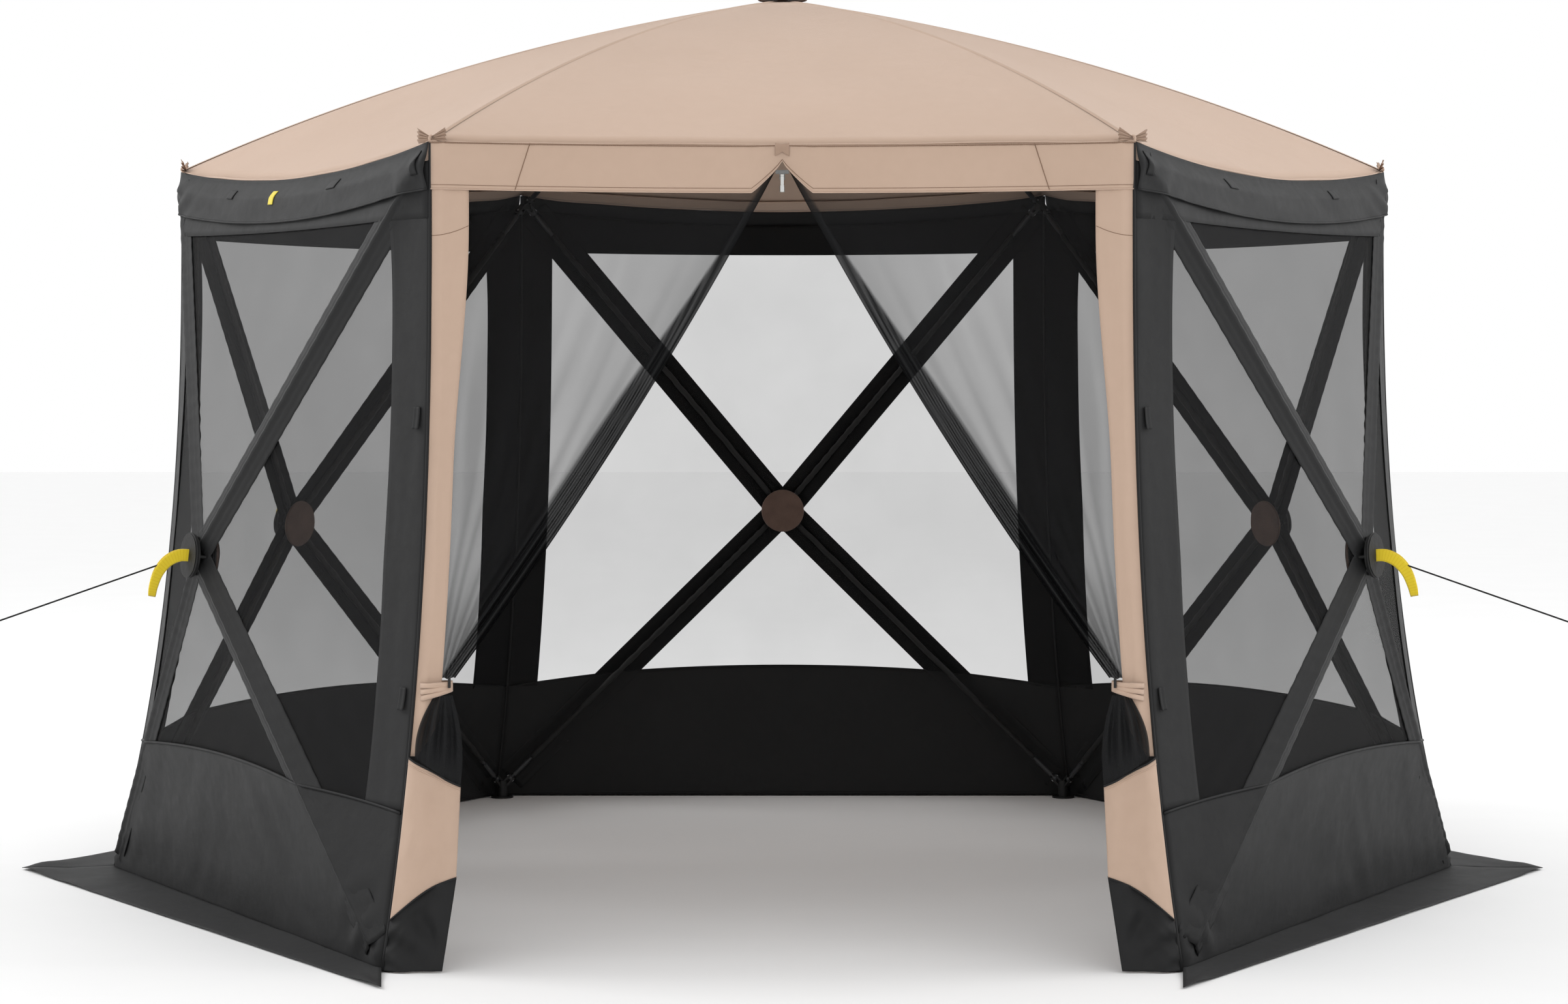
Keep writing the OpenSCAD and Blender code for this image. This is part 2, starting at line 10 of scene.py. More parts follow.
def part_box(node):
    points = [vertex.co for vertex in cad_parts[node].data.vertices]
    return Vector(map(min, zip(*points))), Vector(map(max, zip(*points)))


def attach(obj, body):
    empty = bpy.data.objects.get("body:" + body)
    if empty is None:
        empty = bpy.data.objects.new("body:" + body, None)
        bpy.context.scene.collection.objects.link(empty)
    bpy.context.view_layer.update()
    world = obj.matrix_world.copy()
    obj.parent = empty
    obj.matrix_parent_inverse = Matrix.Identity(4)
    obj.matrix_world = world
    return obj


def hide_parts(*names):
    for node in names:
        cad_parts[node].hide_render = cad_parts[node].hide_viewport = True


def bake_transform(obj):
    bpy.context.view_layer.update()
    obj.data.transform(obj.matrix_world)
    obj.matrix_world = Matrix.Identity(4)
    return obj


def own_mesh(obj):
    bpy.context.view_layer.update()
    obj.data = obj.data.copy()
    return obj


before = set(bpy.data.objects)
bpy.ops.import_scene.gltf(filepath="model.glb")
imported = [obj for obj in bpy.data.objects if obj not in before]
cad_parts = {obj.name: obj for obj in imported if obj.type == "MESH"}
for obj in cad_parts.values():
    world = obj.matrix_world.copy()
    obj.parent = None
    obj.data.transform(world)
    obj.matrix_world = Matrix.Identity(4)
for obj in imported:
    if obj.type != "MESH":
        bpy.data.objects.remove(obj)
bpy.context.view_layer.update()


# ---- Camera, light and floor ------------------------------------------------------------------
# The house is seen from the front at chest height with a long lens, on a pale studio floor. One
# broad key light stands high on the left, a fill on the right, and the room itself is pale.
eye_back, eye_up, eye_down = 9.23, 1.378, math.radians(2.5)
camera = bpy.data.objects.new("camera", bpy.data.cameras.new("camera"))
camera.data.lens, camera.data.sensor_width = 80.46, 36
camera.location = (0.004, -eye_back, eye_up)
camera.rotation_euler = (math.radians(90) - eye_down, 0, 0)
bpy.context.scene.collection.objects.link(camera)
bpy.context.scene.camera = camera

room = bpy.data.worlds.new("room")
room.use_nodes = True
room.node_tree.nodes["Background"].inputs["Color"].default_value = (1.0, 1.0, 1.0, 1)
room.node_tree.nodes["Background"].inputs["Strength"].default_value = 1.0
bpy.context.scene.world = room
bpy.context.scene.view_settings.view_transform = "Standard"


def soft_light(name, place, aim, width, power):
    lamp = bpy.data.lights.new(name, "AREA")
    lamp.shape, lamp.size, lamp.energy = "SQUARE", width, power
    holder = bpy.data.objects.new(name, lamp)
    holder.location = place
    holder.rotation_euler = (Vector(aim) - Vector(place)).to_track_quat("-Z", "Y").to_euler()
    bpy.context.scene.collection.objects.link(holder)


soft_light("key_light", (-7.0, 1.0, 5.5), (0, 0, 1.4), 3.5, 190)
soft_light("fill_light", (7.0, 0.0, 5.0), (0, 0, 1.2), 4.0, 140)


class Wire:
    """A shader socket; arithmetic on it adds Math nodes."""

    def __init__(self, finish, socket):
        self.finish, self.socket = finish, socket

    def math(self, operation, *values):
        return self.finish.add("ShaderNodeMath", {"operation": operation}, dict(enumerate(values)))

    def __add__(self, other):
        return self.math("ADD", self, other)

    def __sub__(self, other):
        return self.math("SUBTRACT", self, other)

    def __rsub__(self, other):
        return self.math("SUBTRACT", other, self)

    def __mul__(self, other):
        return self.math("MULTIPLY", self, other)

    def __truediv__(self, other):
        return self.math("DIVIDE", self, other)

    __radd__, __rmul__ = __add__, __mul__

    def sine(self):
        return self.math("SINE", self)

    def above(self, limit):
        return self.math("GREATER_THAN", self, limit)


class Finish:
    """A procedural material. add() makes any node: its settings first, then its sockets."""

    def __init__(self, name, **constants):
        self.material = bpy.data.materials.new(name)
        self.material.use_nodes = True
        self.tree = self.material.node_tree
        self.shader = self.tree.nodes["Principled BSDF"]
        for socket, value in constants.items():
            self.socket(socket).default_value = value

    def socket(self, name):
        return self.shader.inputs[name.replace("_", " ").title().replace("Ior", "IOR")]

    def add(self, kind, settings=None, sockets=None, out=0):
        node = self.tree.nodes.new(kind)
        for key, value in (settings or {}).items():
            if key == "stops":
                for stop, (place, colour) in zip(node.color_ramp.elements, value):
                    stop.position, stop.color = place, (*colour, 1)
            else:
                setattr(node, key, value)
        for key, value in (sockets or {}).items():
            if isinstance(value, Wire):
                self.tree.links.new(value.socket, node.inputs[key])
            else:
                node.inputs[key].default_value = value
        return Wire(self, node.outputs[out])

    def drive(self, **wires):
        for socket, wire in wires.items():
            self.tree.links.new(wire.socket, self.socket(socket))

    def place(self):
        return self.add("ShaderNodeTexCoord", out=3)

    def cut(self, axis):
        uv = self.add("ShaderNodeUVMap", {"uv_map": "cut"})
        return self.add("ShaderNodeSeparateXYZ", {}, {0: uv}, axis)

    def mottle(self, scale, detail=4.0, where=None):
        """Noise from 0 to 1."""
        return self.add("ShaderNodeTexNoise", {}, {"Vector": where or self.place(), "Scale": scale,
                                                   "Detail": detail})

    def shades(self, amount, dark, light):
        return self.add("ShaderNodeMix", {"data_type": "RGBA"},
                        {0: amount, 6: (*dark, 1), 7: (*light, 1)}, 2)

    def bump(self, height, depth, strength=1.0):
        return self.add("ShaderNodeBump", {}, {"Height": height, "Distance": depth,
                                               "Strength": strength})


floor_finish = Finish("floor_paint", roughness=0.9)
floor_finish.drive(base_color=floor_finish.shades(floor_finish.mottle(3.0), (0.93,) * 3, (0.96,) * 3))
floor_mesh = bmesh.new()
bmesh.ops.create_grid(floor_mesh, x_segments=4, y_segments=4, size=30)
floor_data = bpy.data.meshes.new("floor")
floor_mesh.to_mesh(floor_data)
floor_mesh.free()
floor = bpy.data.objects.new("floor", floor_data)
floor_data.materials.append(floor_finish.material)
bpy.context.scene.collection.objects.link(floor)


# ---- Guy ropes --------------------------------------------------------------------------------
# Two thin braided black ropes, pulled taut from the hubs beside the doorway. Each is tied to its
# hub's strap and ends in the eye that goes over its peg, out beyond the house.
hub_low, hub_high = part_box("wall_hub_3")
hub_out, hub_h = (hub_low[1] + hub_high[1]) / 2, (hub_low[2] + hub_high[2]) / 2 + 0.002
rope_d, rope_eye = 0.004, 0.013
rope_from, rope_to = Vector((0.0965, -0.0167)), Vector((0.518, -0.145))
rope_steps = 16


def on_wall(k, x, out, z):
    """A place on wall k: x across it, out from the middle of the house, and height z."""
    return Matrix.Rotation(math.radians(60 * k), 3, "Z") @ Vector((x, -out, z))


def piece(name, bm, finish, smooth=True):
    data = bpy.data.meshes.new(name)
    bm.to_mesh(data)
    bm.free()
    for face in data.polygons:
        face.use_smooth = smooth
    made = bpy.data.objects.new(name, data)
    data.materials.append(finish.material)
    bpy.context.scene.collection.objects.link(made)
    return made


def ring(bm, centre, axis, side, radius, thickness):
    """A round ring about axis: a circle at centre + side, spun."""
    side = Vector(side).normalized()
    turn = Matrix.Translation(centre + side * radius) @ Vector(axis).cross(side).to_track_quat(
        "Z", "X").to_matrix().to_4x4()
    edge = bmesh.ops.create_circle(bm, segments=12, radius=thickness, matrix=turn)["verts"]
    edges = list({e for v in edge for e in v.link_edges})
    bmesh.ops.spin(bm, geom=edge + edges, cent=centre, axis=axis, angle=2 * math.pi, steps=32,
                   use_merge=True)
    bmesh.ops.remove_doubles(bm, verts=bm.verts, dist=1e-5)
    bmesh.ops.recalc_face_normals(bm, faces=bm.faces)


rope_finish = Finish("rope_braid", roughness=0.75, specular_ior_level=0.3)
strands = (rope_finish.add("ShaderNodeSeparateXYZ", {}, {0: rope_finish.place()}, 2) * 900).sine()
rope_finish.drive(base_color=rope_finish.shades(strands * 0.5 + 0.5, (0.008,) * 3, (0.03,) * 3),
                  normal=rope_finish.bump(strands, 0.0004))
for k in (1, 5):
    route = [rope_from.lerp(rope_to, i / (rope_steps - 1)) for i in range(rope_steps)]
    points = [on_wall(k, 0, hub_out + p.x, hub_h + p.y) for p in route]
    line = bpy.data.curves.new(f"rope_{k}", "CURVE")
    line.dimensions, line.bevel_depth, line.bevel_resolution = "3D", rope_d / 2, 3
    line.use_fill_caps = True
    spline = line.splines.new("POLY")
    spline.points.add(rope_steps - 1)
    for point, place in zip(spline.points, points):
        point.co = (*place, 1)
    rope = bpy.data.objects.new(f"rope_{k}", line)
    line.materials.append(rope_finish.material)
    bpy.context.scene.collection.objects.link(rope)
    end = route[-1] + (rope_to - rope_from).normalized() * (rope_eye + rope_d / 2)
    eye = bmesh.new()
    ring(eye, on_wall(k, 0, hub_out + end.x, hub_h + end.y), on_wall(k, 1, 0, 0), (0, 0, 1),
         rope_eye, rope_d / 2)
    eye = piece(f"rope_eye_{k}", eye, rope_finish)
    for part in (rope, eye):
        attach(part, f"wall_hub_{k}")
        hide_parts(f"guy_rope_{k}")


# ---- Pull straps ------------------------------------------------------------------------------
# A loop of yellow webbing is sewn to the outside of every wall hub, to pull the wall out with. On
# the two walls beside the doorway it hangs out and droops; on the others it is tucked in.
strap_w, strap_tip_w, strap_run, strap_t = 0.029, 0.019, 0.135, 0.0022
strap_held_out = [(0.020, 0.002), (0.050, 0.003), (0.080, -0.010), (0.103, -0.036), (0.116, -0.068),
                  (0.121, -0.092)]
strap_tucked = [(0.020, -0.012), (0.030, 0.024), (0.038, 0.034), (0.045, 0.020), (0.043, -0.016),
                (0.036, -0.044)]


def woven(name, dark, light, thread=0.0016, weave=0.00012, crease=0.004, roughness=0.8, sheen=0.2,
          gloss=0.3, stripe=None):
    """Woven cloth: crossed threads, slight colour changes, and soft creases."""
    cloth_finish = Finish(name, sheen_weight=sheen, sheen_roughness=0.45, specular_ior_level=gloss)
    turns = 2 * math.pi / thread
    threads = (cloth_finish.cut(0) * turns).sine() * (cloth_finish.cut(1) * turns).sine()
    broad, fine = cloth_finish.mottle(2.2, 3.0), cloth_finish.mottle(38.0, 5.0)
    tone = broad * 0.55 + fine * 0.3 + threads * 0.12 + 0.05
    if stripe:
        tone = tone - (cloth_finish.cut(1) * (2 * math.pi / stripe)).sine().above(0.86) * 0.5
    cloth_finish.drive(
        base_color=cloth_finish.shades(tone, dark, light),
        roughness=fine * 0.16 + (roughness - 0.08),
        normal=cloth_finish.bump(threads * weave + cloth_finish.mottle(9.0, 4.0) * crease, 1.0))
    return cloth_finish


def sheet_mesh(parts, keep=None, merge=1e-4):
    """Cloth from grids. Each part is (columns, rows, (width, length), place), and place(u, v)
    gives where the cloth lies, from u = v = 0 to 1. Its UV map is the flat cut, in metres."""
    bm = bmesh.new()
    layer = bm.loops.layers.uv.new("cut")
    for columns, rows, (width, length), place in parts:
        made = bmesh.ops.create_grid(bm, x_segments=columns, y_segments=rows, size=0.5)["verts"]
        faces = {face for vert in made for face in vert.link_faces}
        for face in faces:
            for loop in face.loops:
                loop[layer].uv = ((loop.vert.co.x + 0.5) * width, (loop.vert.co.y + 0.5) * length)
        if keep:
            lost = [face for face in faces
                    if not keep(face.calc_center_median().x + 0.5,
                                face.calc_center_median().y + 0.5)]
            bmesh.ops.delete(bm, geom=lost, context="FACES")
        for vert in made:
            if vert.is_valid:
                vert.co = place(vert.co.x + 0.5, vert.co.y + 0.5)
    bmesh.ops.remove_doubles(bm, verts=bm.verts, dist=merge)
    return bm


def thicken(made, thickness):
    skin = made.modifiers.new("thickness", "SOLIDIFY")
    skin.thickness, skin.offset = thickness, 0
    return made


def mix(a, b, t):
    return a + (b - a) * t


def along(points, t):
    """A smooth line through a list of points, from t = 0 to 1."""
    t = min(max(t, 0), 1) * (len(points) - 1)
    i = min(int(t), len(points) - 2)
    p = [Vector(points[max(0, min(len(points) - 1, j))]) for j in (i - 1, i, i + 1, i + 2)]
    f = t - i
    return 0.5 * ((2 * p[1]) + (p[2] - p[0]) * f + (2 * p[0] - 5 * p[1] + 4 * p[2] - p[3]) * f * f
                  + (3 * p[1] - p[0] - 3 * p[2] + p[3]) * f ** 3)


strap_finish = woven("strap_webbing", (0.86, 0.60, 0.010), (1.0, 0.80, 0.04), 0.0022, 0.0002, 0.001,
                     0.6, 0.3, 0.4, stripe=0.006)
for k in range(1, 6):
    def strap_at(u, v, k=k):
        course = strap_held_out if k in (1, 5) else strap_tucked
        t = 1 - abs(2 * v - 1)
        p, ahead = along(course, t), along(course, t + 0.02) - along(course, t - 0.02)
        wide = mix(strap_w, strap_tip_w, t * t) * (u - 0.5)
        flank = Vector((-ahead.y, ahead.x)).normalized() * wide
        apart = 0.0045 * math.cos(math.pi * v) * (1 + 0.5 * math.sin(5 * t)) + 0.006 * t * t
        return on_wall(k, apart + 0.10 * wide, hub_out + p.x + flank.x, hub_h + p.y + flank.y)

    strap = piece(f"strap_{k}", sheet_mesh([(6, 44, (strap_w, 2 * strap_run), strap_at)]), strap_finish)
    thicken(strap, strap_t)
    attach(strap, f"wall_hub_{k}")
    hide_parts(f"pull_strap_{k}")


# ---- Roof cloth -------------------------------------------------------------------------------
# One tight tan cover of coated polyester, sewn from six panels whose seams follow the poles. It
# hangs on the six roof poles and dips a little between them at the eaves.
eave_r, eave_h, roof_top, ridge_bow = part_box("canopy")[1][0], 1.845, 2.290, 0.058
door_sag, wall_sag = 0.009, 0.050
roof_drop, chord = roof_top - eave_h, math.hypot(eave_r, roof_top - eave_h)
bow_radius = (chord * chord / 4 + ridge_bow * ridge_bow) / (2 * ridge_bow)
bow_x = eave_r / 2 - (bow_radius - ridge_bow) * roof_drop / chord
bow_z = (roof_top + eave_h) / 2 - (bow_radius - ridge_bow) * eave_r / chord


def sag_of(k):
    return door_sag if k == 0 else wall_sag


def smooth(t):
    t = min(max(t, 0), 1)
    return t * t * (3 - 2 * t)


def ripple(place, scale, seed=0.0):
    """Smooth noise from -1 to 1 that is the same each run."""
    return noise.noise(Vector(place) * scale + Vector((seed, seed * 1.7, -seed)))


def ridge_z(r):
    return bow_z + math.sqrt(bow_radius ** 2 - (r - bow_x) ** 2)


def roof_at(k, u, r, proud=0.0):
    """A place on roof panel k: u from 0 to 1 across it, at corner distance r from the middle."""
    corners = [Vector((math.cos(a), math.sin(a), 0)) for a in
               (math.radians(60 * k - 120), math.radians(60 * k - 60))]
    flat = corners[0].lerp(corners[1], u) * r
    edge, share = min(u, 1 - u), r / eave_r
    dip = sag_of(k) * share ** 2 * 4 * u * (1 - u)
    pull = 0.004 * share ** 6 * math.exp(-((edge - 0.07) / 0.05) ** 2)
    soft = 0.0035 * ripple((flat.x, flat.y, k), 4.0) * min(1, edge * 8)
    flat.z = ridge_z(r) - dip - pull + soft + proud
    return flat


roof_hole, panel_w, panel_l = 0.012, eave_r, 1.42
roof_cols, roof_rows = 28, 36
tan_finish = woven("tan_cloth", (0.50, 0.355, 0.265), (0.62, 0.455, 0.355), crease=0.0035)
panels = []
for k in range(6):
    def panel_at(u, v, k=k):
        return roof_at(k, u, eave_r + (roof_hole - eave_r) * v)

    panels.append((roof_cols, roof_rows, (panel_w, panel_l), panel_at))
roof = thicken(piece("roof_cloth", sheet_mesh(panels), tan_finish), 0.001)
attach(roof, "house")
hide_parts("canopy")


def follow_roof(made):
    """Gives the piece its own copy of its mesh."""
    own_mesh(made)


follow_roof(roof)


# ---- Eave hem ---------------------------------------------------------------------------------
# Inside the roof's edge a broad tan hem is sewn to the valance.
hem_w = 0.06
hems = []
for k in range(6):
    def hem_at(u, v, k=k):
        return roof_at(k, u, eave_r - 0.004 - hem_w * v) - Vector((0, 0, 0.0025 + 0.0045 * v))

    hems.append((40, 6, (panel_w, hem_w), hem_at))
hem = thicken(piece("eave_hem", sheet_mesh(hems), tan_finish), 0.0008)
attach(hem, "house")


# ---- Roof seams -------------------------------------------------------------------------------
# A folded tape covers each seam from the top to a corner, and a rolled piping runs round the
# eaves. Both are the roof's own cloth, sewn down with two rows of stitches.
tape_w, tape_proud = 0.016, 0.0022
seam_finish = woven("tan_seam", (0.44, 0.305, 0.22), (0.56, 0.405, 0.31), crease=0.002, stripe=0.004)
tapes = []
for c in range(6):
    def tape_at(u, v, c=c):
        r = 0.05 + (eave_r - 0.052) * v
        angle = math.radians(60 * c - 60)
        across = (u - 0.5) * tape_w
        side = Vector((-math.sin(angle), math.cos(angle), 0))
        place = Vector((math.cos(angle), math.sin(angle), 0)) * r + side * across
        place.z = ridge_z(r) + tape_proud * (1 - (2 * u - 1) ** 2) - abs(across) * 0.12
        return place

    tapes.append((6, 80, (tape_w, panel_l), tape_at))
tape = piece("roof_seams", sheet_mesh(tapes), seam_finish)
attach(tape, "house")
follow_roof(tape)

piping_r, piping_cols = 0.0026, 40


def eave_at(k, u, proud=0.0, drop=0.0):
    place = roof_at(k, u, eave_r)
    out = on_wall(k, 0, 1, 0)
    return place + out * proud - Vector((0, 0, drop))


def tube(bm, line, radius, sides=8):
    """A closed round welt along a list of places."""
    rings = []
    for i, place in enumerate(line):
        way = (line[min(i + 1, len(line) - 1)] - line[max(i - 1, 0)]).normalized()
        turn = Matrix.Translation(place) @ way.to_track_quat("Z", "Y").to_matrix().to_4x4()
        made = bmesh.ops.create_circle(bm, segments=sides, radius=radius, matrix=turn)["verts"]
        rings.append([bm.edges.get((made[j], made[(j + 1) % sides])) for j in range(sides)])
    for low, high in zip(rings, rings[1:]):
        bmesh.ops.bridge_loops(bm, edges=low + high)
    for cap in (rings[0], rings[-1]):
        bmesh.ops.contextual_create(bm, geom=cap)
    bmesh.ops.recalc_face_normals(bm, faces=bm.faces)


def welt(name, lines, radius, finish, sides=8):
    bm = bmesh.new()
    for line in lines:
        tube(bm, line, radius, sides)
    made = piece(name, bm, finish)
    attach(made, "house")
    return made


plain_tan = Finish("tan_piping", roughness=0.75, sheen_weight=0.2)
plain_tan.drive(base_color=plain_tan.shades(plain_tan.mottle(30.0), (0.46, 0.32, 0.235),
                                            (0.56, 0.405, 0.31)),
                normal=plain_tan.bump(plain_tan.mottle(260.0), 0.0005))
welt("eave_piping", [[eave_at(k, i / piping_cols, 0.001, 0.001) for i in range(piping_cols + 1)]
                     for k in range(6)], piping_r, plain_tan)


# ---- Corner gathers ---------------------------------------------------------------------------
# At each corner the roof's seam ends in a small ruched tuft of its own cloth, where the seam
# allowances of the panels are bunched and tied. Its tan is painted darker: painted shade in the ruches.
tuft_folds, tuft_l = 7, 0.034
# The roof's tan painted darker: painted shade in the gathers.
painted_shade_tan_finish = woven("tan_gather_painted_shade", (0.26, 0.165, 0.115), (0.54, 0.385, 0.29), crease=0.004)
for c in range(6):
    angle = math.radians(60 * c - 60)
    out = Vector((math.cos(angle), math.sin(angle), 0))
    side = Vector((-math.sin(angle), math.cos(angle), 0))
    tip = out * (eave_r - 0.004) + Vector((0, 0, eave_h + 0.004))
    leaves = []
    for leaf in (-1, 1):
        def leaf_at(u, v, leaf=leaf, tip=tip, out=out, side=side, c=c):
            spread = 0.004 + 0.012 * v
            wave = math.sin(u * tuft_folds * math.pi + leaf + c)
            return (tip + side * leaf * (0.004 + tuft_l * v) + out * (wave * 0.0035 - 0.002)
                    + Vector((0, 0, (u - 0.5) * 2 * spread + 0.007 * v + 0.002 * wave)))

        leaves.append((14, 6, (0.05, tuft_l), leaf_at))
    tuft = thicken(piece(f"corner_tuft_{c}", sheet_mesh(leaves, merge=1e-6), painted_shade_tan_finish), 0.0012)
    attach(tuft, "house")
    knot = bmesh.new()
    ring(knot, tip, side, out, 0.0065, 0.003)
    knot = piece(f"corner_knot_{c}", knot, plain_tan)
    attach(knot, "house")


# ---- Roof cap ---------------------------------------------------------------------------------
# A round brown patch of doubled cloth over the roof hub's boss, edged with a rolled binding. It
# keeps its solid's size, so only its finish and its binding are added.
cap_low, cap_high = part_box("roof_cap")
cap_r = (cap_high[0] - cap_low[0]) / 2
# Brown for the roof cap; on the inner wall hub covers this brown is painted shade on tan cloth.
cap_brown_and_hub_shade_finish = Finish("cap_brown_and_hub_shade_cloth", roughness=0.85, sheen_weight=0.2)
cap_brown_and_hub_shade_finish.drive(
    base_color=cap_brown_and_hub_shade_finish.shades(cap_brown_and_hub_shade_finish.mottle(25.0), (0.085, 0.05, 0.038), (0.19, 0.12, 0.092)),
    normal=cap_brown_and_hub_shade_finish.bump(cap_brown_and_hub_shade_finish.mottle(320.0), 0.0006))


def finish_node(node, finish):
    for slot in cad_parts[node].material_slots:
        slot.material = finish.material


finish_node("roof_cap", cap_brown_and_hub_shade_finish)
binding = bmesh.new()
ring(binding, Vector((0, 0, cap_high[2] - 0.0065)), (0, 0, 1), (1, 0, 0), cap_r, 0.0028)
binding = piece("cap_binding", binding, cap_brown_and_hub_shade_finish)
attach(binding, "roof_hub")


# ---- Valances ---------------------------------------------------------------------------------
# A band of cloth hangs below the eaves all round: tan over the doorway, with a notch where the
# curtains meet, and black over the mesh walls. The tan one has two darts and a puckered hem.
base_r, corner_flare = 1.770, 2.6
pole_top_r, pole_top_z = eave_r - 0.030, eave_h - 0.030
pole_foot_r, pole_foot_z = base_r - 0.045, 0.035
apothem = math.cos(math.radians(30))


def corner_r(z):
    return eave_r + (base_r - eave_r) * (max(0, eave_h - z) / eave_h) ** corner_flare


def half_w(z):
    return corner_r(z) / 2


def corner_ap(z):
    return corner_r(z) * apothem


def ridge_x(z):
    """Distance from a wall's middle line to the pole that pushes its cloth out, at a height."""
    if z > hub_h:
        reach = pole_top_r / 2 * (z - hub_h) / (pole_top_z - hub_h)
    else:
        reach = pole_foot_r / 2 * (hub_h - z) / (hub_h - pole_foot_z)
    return min(reach, half_w(z) - 0.012)


def skin_ap(x, z):
    """Distance from the middle of the house out to a mesh wall's cloth, pulled in between poles."""
    up = z > hub_h
    t = (z - hub_h) / (eave_h - hub_h) if up else (hub_h - z) / hub_h
    ridge = mix(hub_out + 0.009, (eave_r if up else base_r) * apothem, t)
    r, c = max(ridge_x(z), 0.001), half_w(z)
    if abs(x) <= r:
        pulled = 0.010 * (1 - (x / r) ** 2) * 4 * t * (1 - t)
        return ridge - pulled
    s = min(1, (abs(x) - r) / max(0.001, c - r))
    return mix(ridge, corner_ap(z), s) - 0.010 * 4 * s * (1 - s) * 4 * t * (1 - t)


def eave_z(x, k):
    return eave_h - sag_of(k) * (1 - (x / (eave_r / 2)) ** 2)


valance_h, valance_out, notch_w, notch_top = 0.110, 0.009, 0.068, 0.038
valance_w = eave_r - 0.002
dart_top, dart_foot = 0.5635, 0.598
black_finish = woven("black_cloth", (0.010, 0.0101, 0.0104), (0.020, 0.0202, 0.0208), crease=0.005,
                     roughness=0.55, sheen=0.01, gloss=0.22)


def valance_drop(x, k):
    if k == 0 and abs(x) < notch_w:
        return mix(notch_top, valance_h, (abs(x) / notch_w) ** 0.85)
    return valance_h


def valance_at(k, x, v, proud=0.0):
    """A place on valance k, v from 0 at the eave to 1 at its hem."""
    z = eave_z(x, k) - 0.003 - v * (valance_drop(x, k) - 0.003)
    edge = (valance_w / 2 - abs(x)) / 0.30
    if k == 0:
        pucker = 0.0022 * ripple((x, z * 0.25, 0), 75.0) * smooth((v - 0.72) / 0.28)
        notch = 0.0045 * math.exp(-(x / 0.10) ** 2) * ripple((x, z * 0.2, 3), 38.0)
        dart = 0.003 * math.exp(-((abs(x) - mix(dart_top, dart_foot, v)) / 0.012) ** 2)
        turned = 0.010 * (1 - smooth((valance_w / 2 - abs(x)) / 0.034))
        out = corner_ap(z) + valance_out + 0.004 + pucker + notch - dart - turned
    else:
        fan = math.sin((abs(x) - 0.30 + (1 - v) * 0.12) * 62) * math.exp(-(edge * 1.9) ** 2)
        wave = 0.0045 * ripple((x, v * 0.3, k), 6.0) + 0.0045 * fan
        top = corner_ap(z) + 0.0015
        out = mix(top, skin_ap(x, z) + valance_out, smooth(v * 2.2)) + wave * smooth(v * 1.6) + 0.003
    return on_wall(k, x, out + proud, z)


for k in range(6):
    columns = 160 if k == 0 else 96

    def valance_place(u, v, k=k):
        return valance_at(k, (u - 0.5) * valance_w, v)

    bm = sheet_mesh([(columns, 18, (valance_w, valance_h), valance_place)])
    bmesh.ops.reverse_faces(bm, faces=bm.faces)
    valance = thicken(piece(f"valance_{k}", bm, tan_finish if k == 0 else black_finish), 0.001)
    hem_w = 0.010
    hem = bmesh.new()
    tube(hem, [valance_at(k, (i / columns - 0.5) * valance_w, 0.985, 0.0005)
               for i in range(columns + 1)], 0.0017 if k == 0 else 0.0022, 6)
    hem = piece(f"valance_hem_{k}", hem, plain_tan if k == 0 else black_finish)
    for part in (valance, hem):
        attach(part, "house")
    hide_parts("valance")

# The darts of the tan valance, the line of its hem's stitching, and the seam under the eave
dart_lines = []
for side in (-1, 1):
    dart_lines.append([valance_at(0, side * mix(dart_top, dart_foot, v / 10), v / 10, 0.0012)
                       for v in range(11)])
stitch_line = [valance_at(0, (i / 160 - 0.5) * valance_w, 0.90, 0.0006) for i in range(161)]
under_eave = [valance_at(0, (i / 80 - 0.5) * valance_w, 0.02, 0.0012) for i in range(81)]
dark_tan = Finish("tan_thread", base_color=(0.24, 0.15, 0.10, 1), roughness=0.9)
dark_tan.drive(normal=dark_tan.bump((dark_tan.add("ShaderNodeSeparateXYZ", {}, {0: dark_tan.place()})
                                     * 1500).sine(), 0.0004))
welt("valance_darts", dart_lines, 0.0010, dark_tan, 6)
welt("valance_stitches", [stitch_line], 0.0007, dark_tan, 5)
welt("eave_seam", [under_eave], 0.0014, dark_tan, 6)


# ---- Patches and tabs on the valances ---------------------------------------------------------
# A doubled patch holds the zip's top, a plain yellow tag is sewn on the left valance, and small
# black tabs of hook-and-loop tape hold rolled-up wind panels.
def patch(name, k, x, v, width, height, finish, proud=0.002):
    """A small doubled piece of cloth sewn on valance k."""
    def patch_place(u, w):
        rim = min(u, 1 - u, w, 1 - w)
        return valance_at(k, x + (u - 0.5) * width, v + (0.5 - w) * height / valance_drop(x, k),
                          proud + 0.0012 * smooth(rim * 8))

    made = thicken(piece(name, sheet_mesh([(10, 10, (width, height), patch_place)]), finish), 0.0012)
    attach(made, "house")


tag_finish = woven("yellow_tag", (0.75, 0.60, 0.05), (0.95, 0.80, 0.12), 0.001, crease=0.0005)
# The zip patch takes the same darker tan, which is painted shade.
patch("zip_patch", 0, 0, 0.17, 0.032, 0.020, painted_shade_tan_finish)
patch("valance_tag", 5, -0.075, 0.42, 0.030, 0.034, tag_finish)
for i, (k, x, v, wide, tall) in enumerate((
        (5, 0.752, 0.40, 0.022, 0.055), (1, -0.752, 0.40, 0.022, 0.055),
        (5, 0.29, 0.30, 0.050, 0.022), (5, -0.36, 0.34, 0.040, 0.022),
        (1, -0.29, 0.30, 0.050, 0.022), (1, 0.36, 0.34, 0.040, 0.022))):
    patch(f"valance_tab_{i}", k, x, v, wide, tall, black_finish)


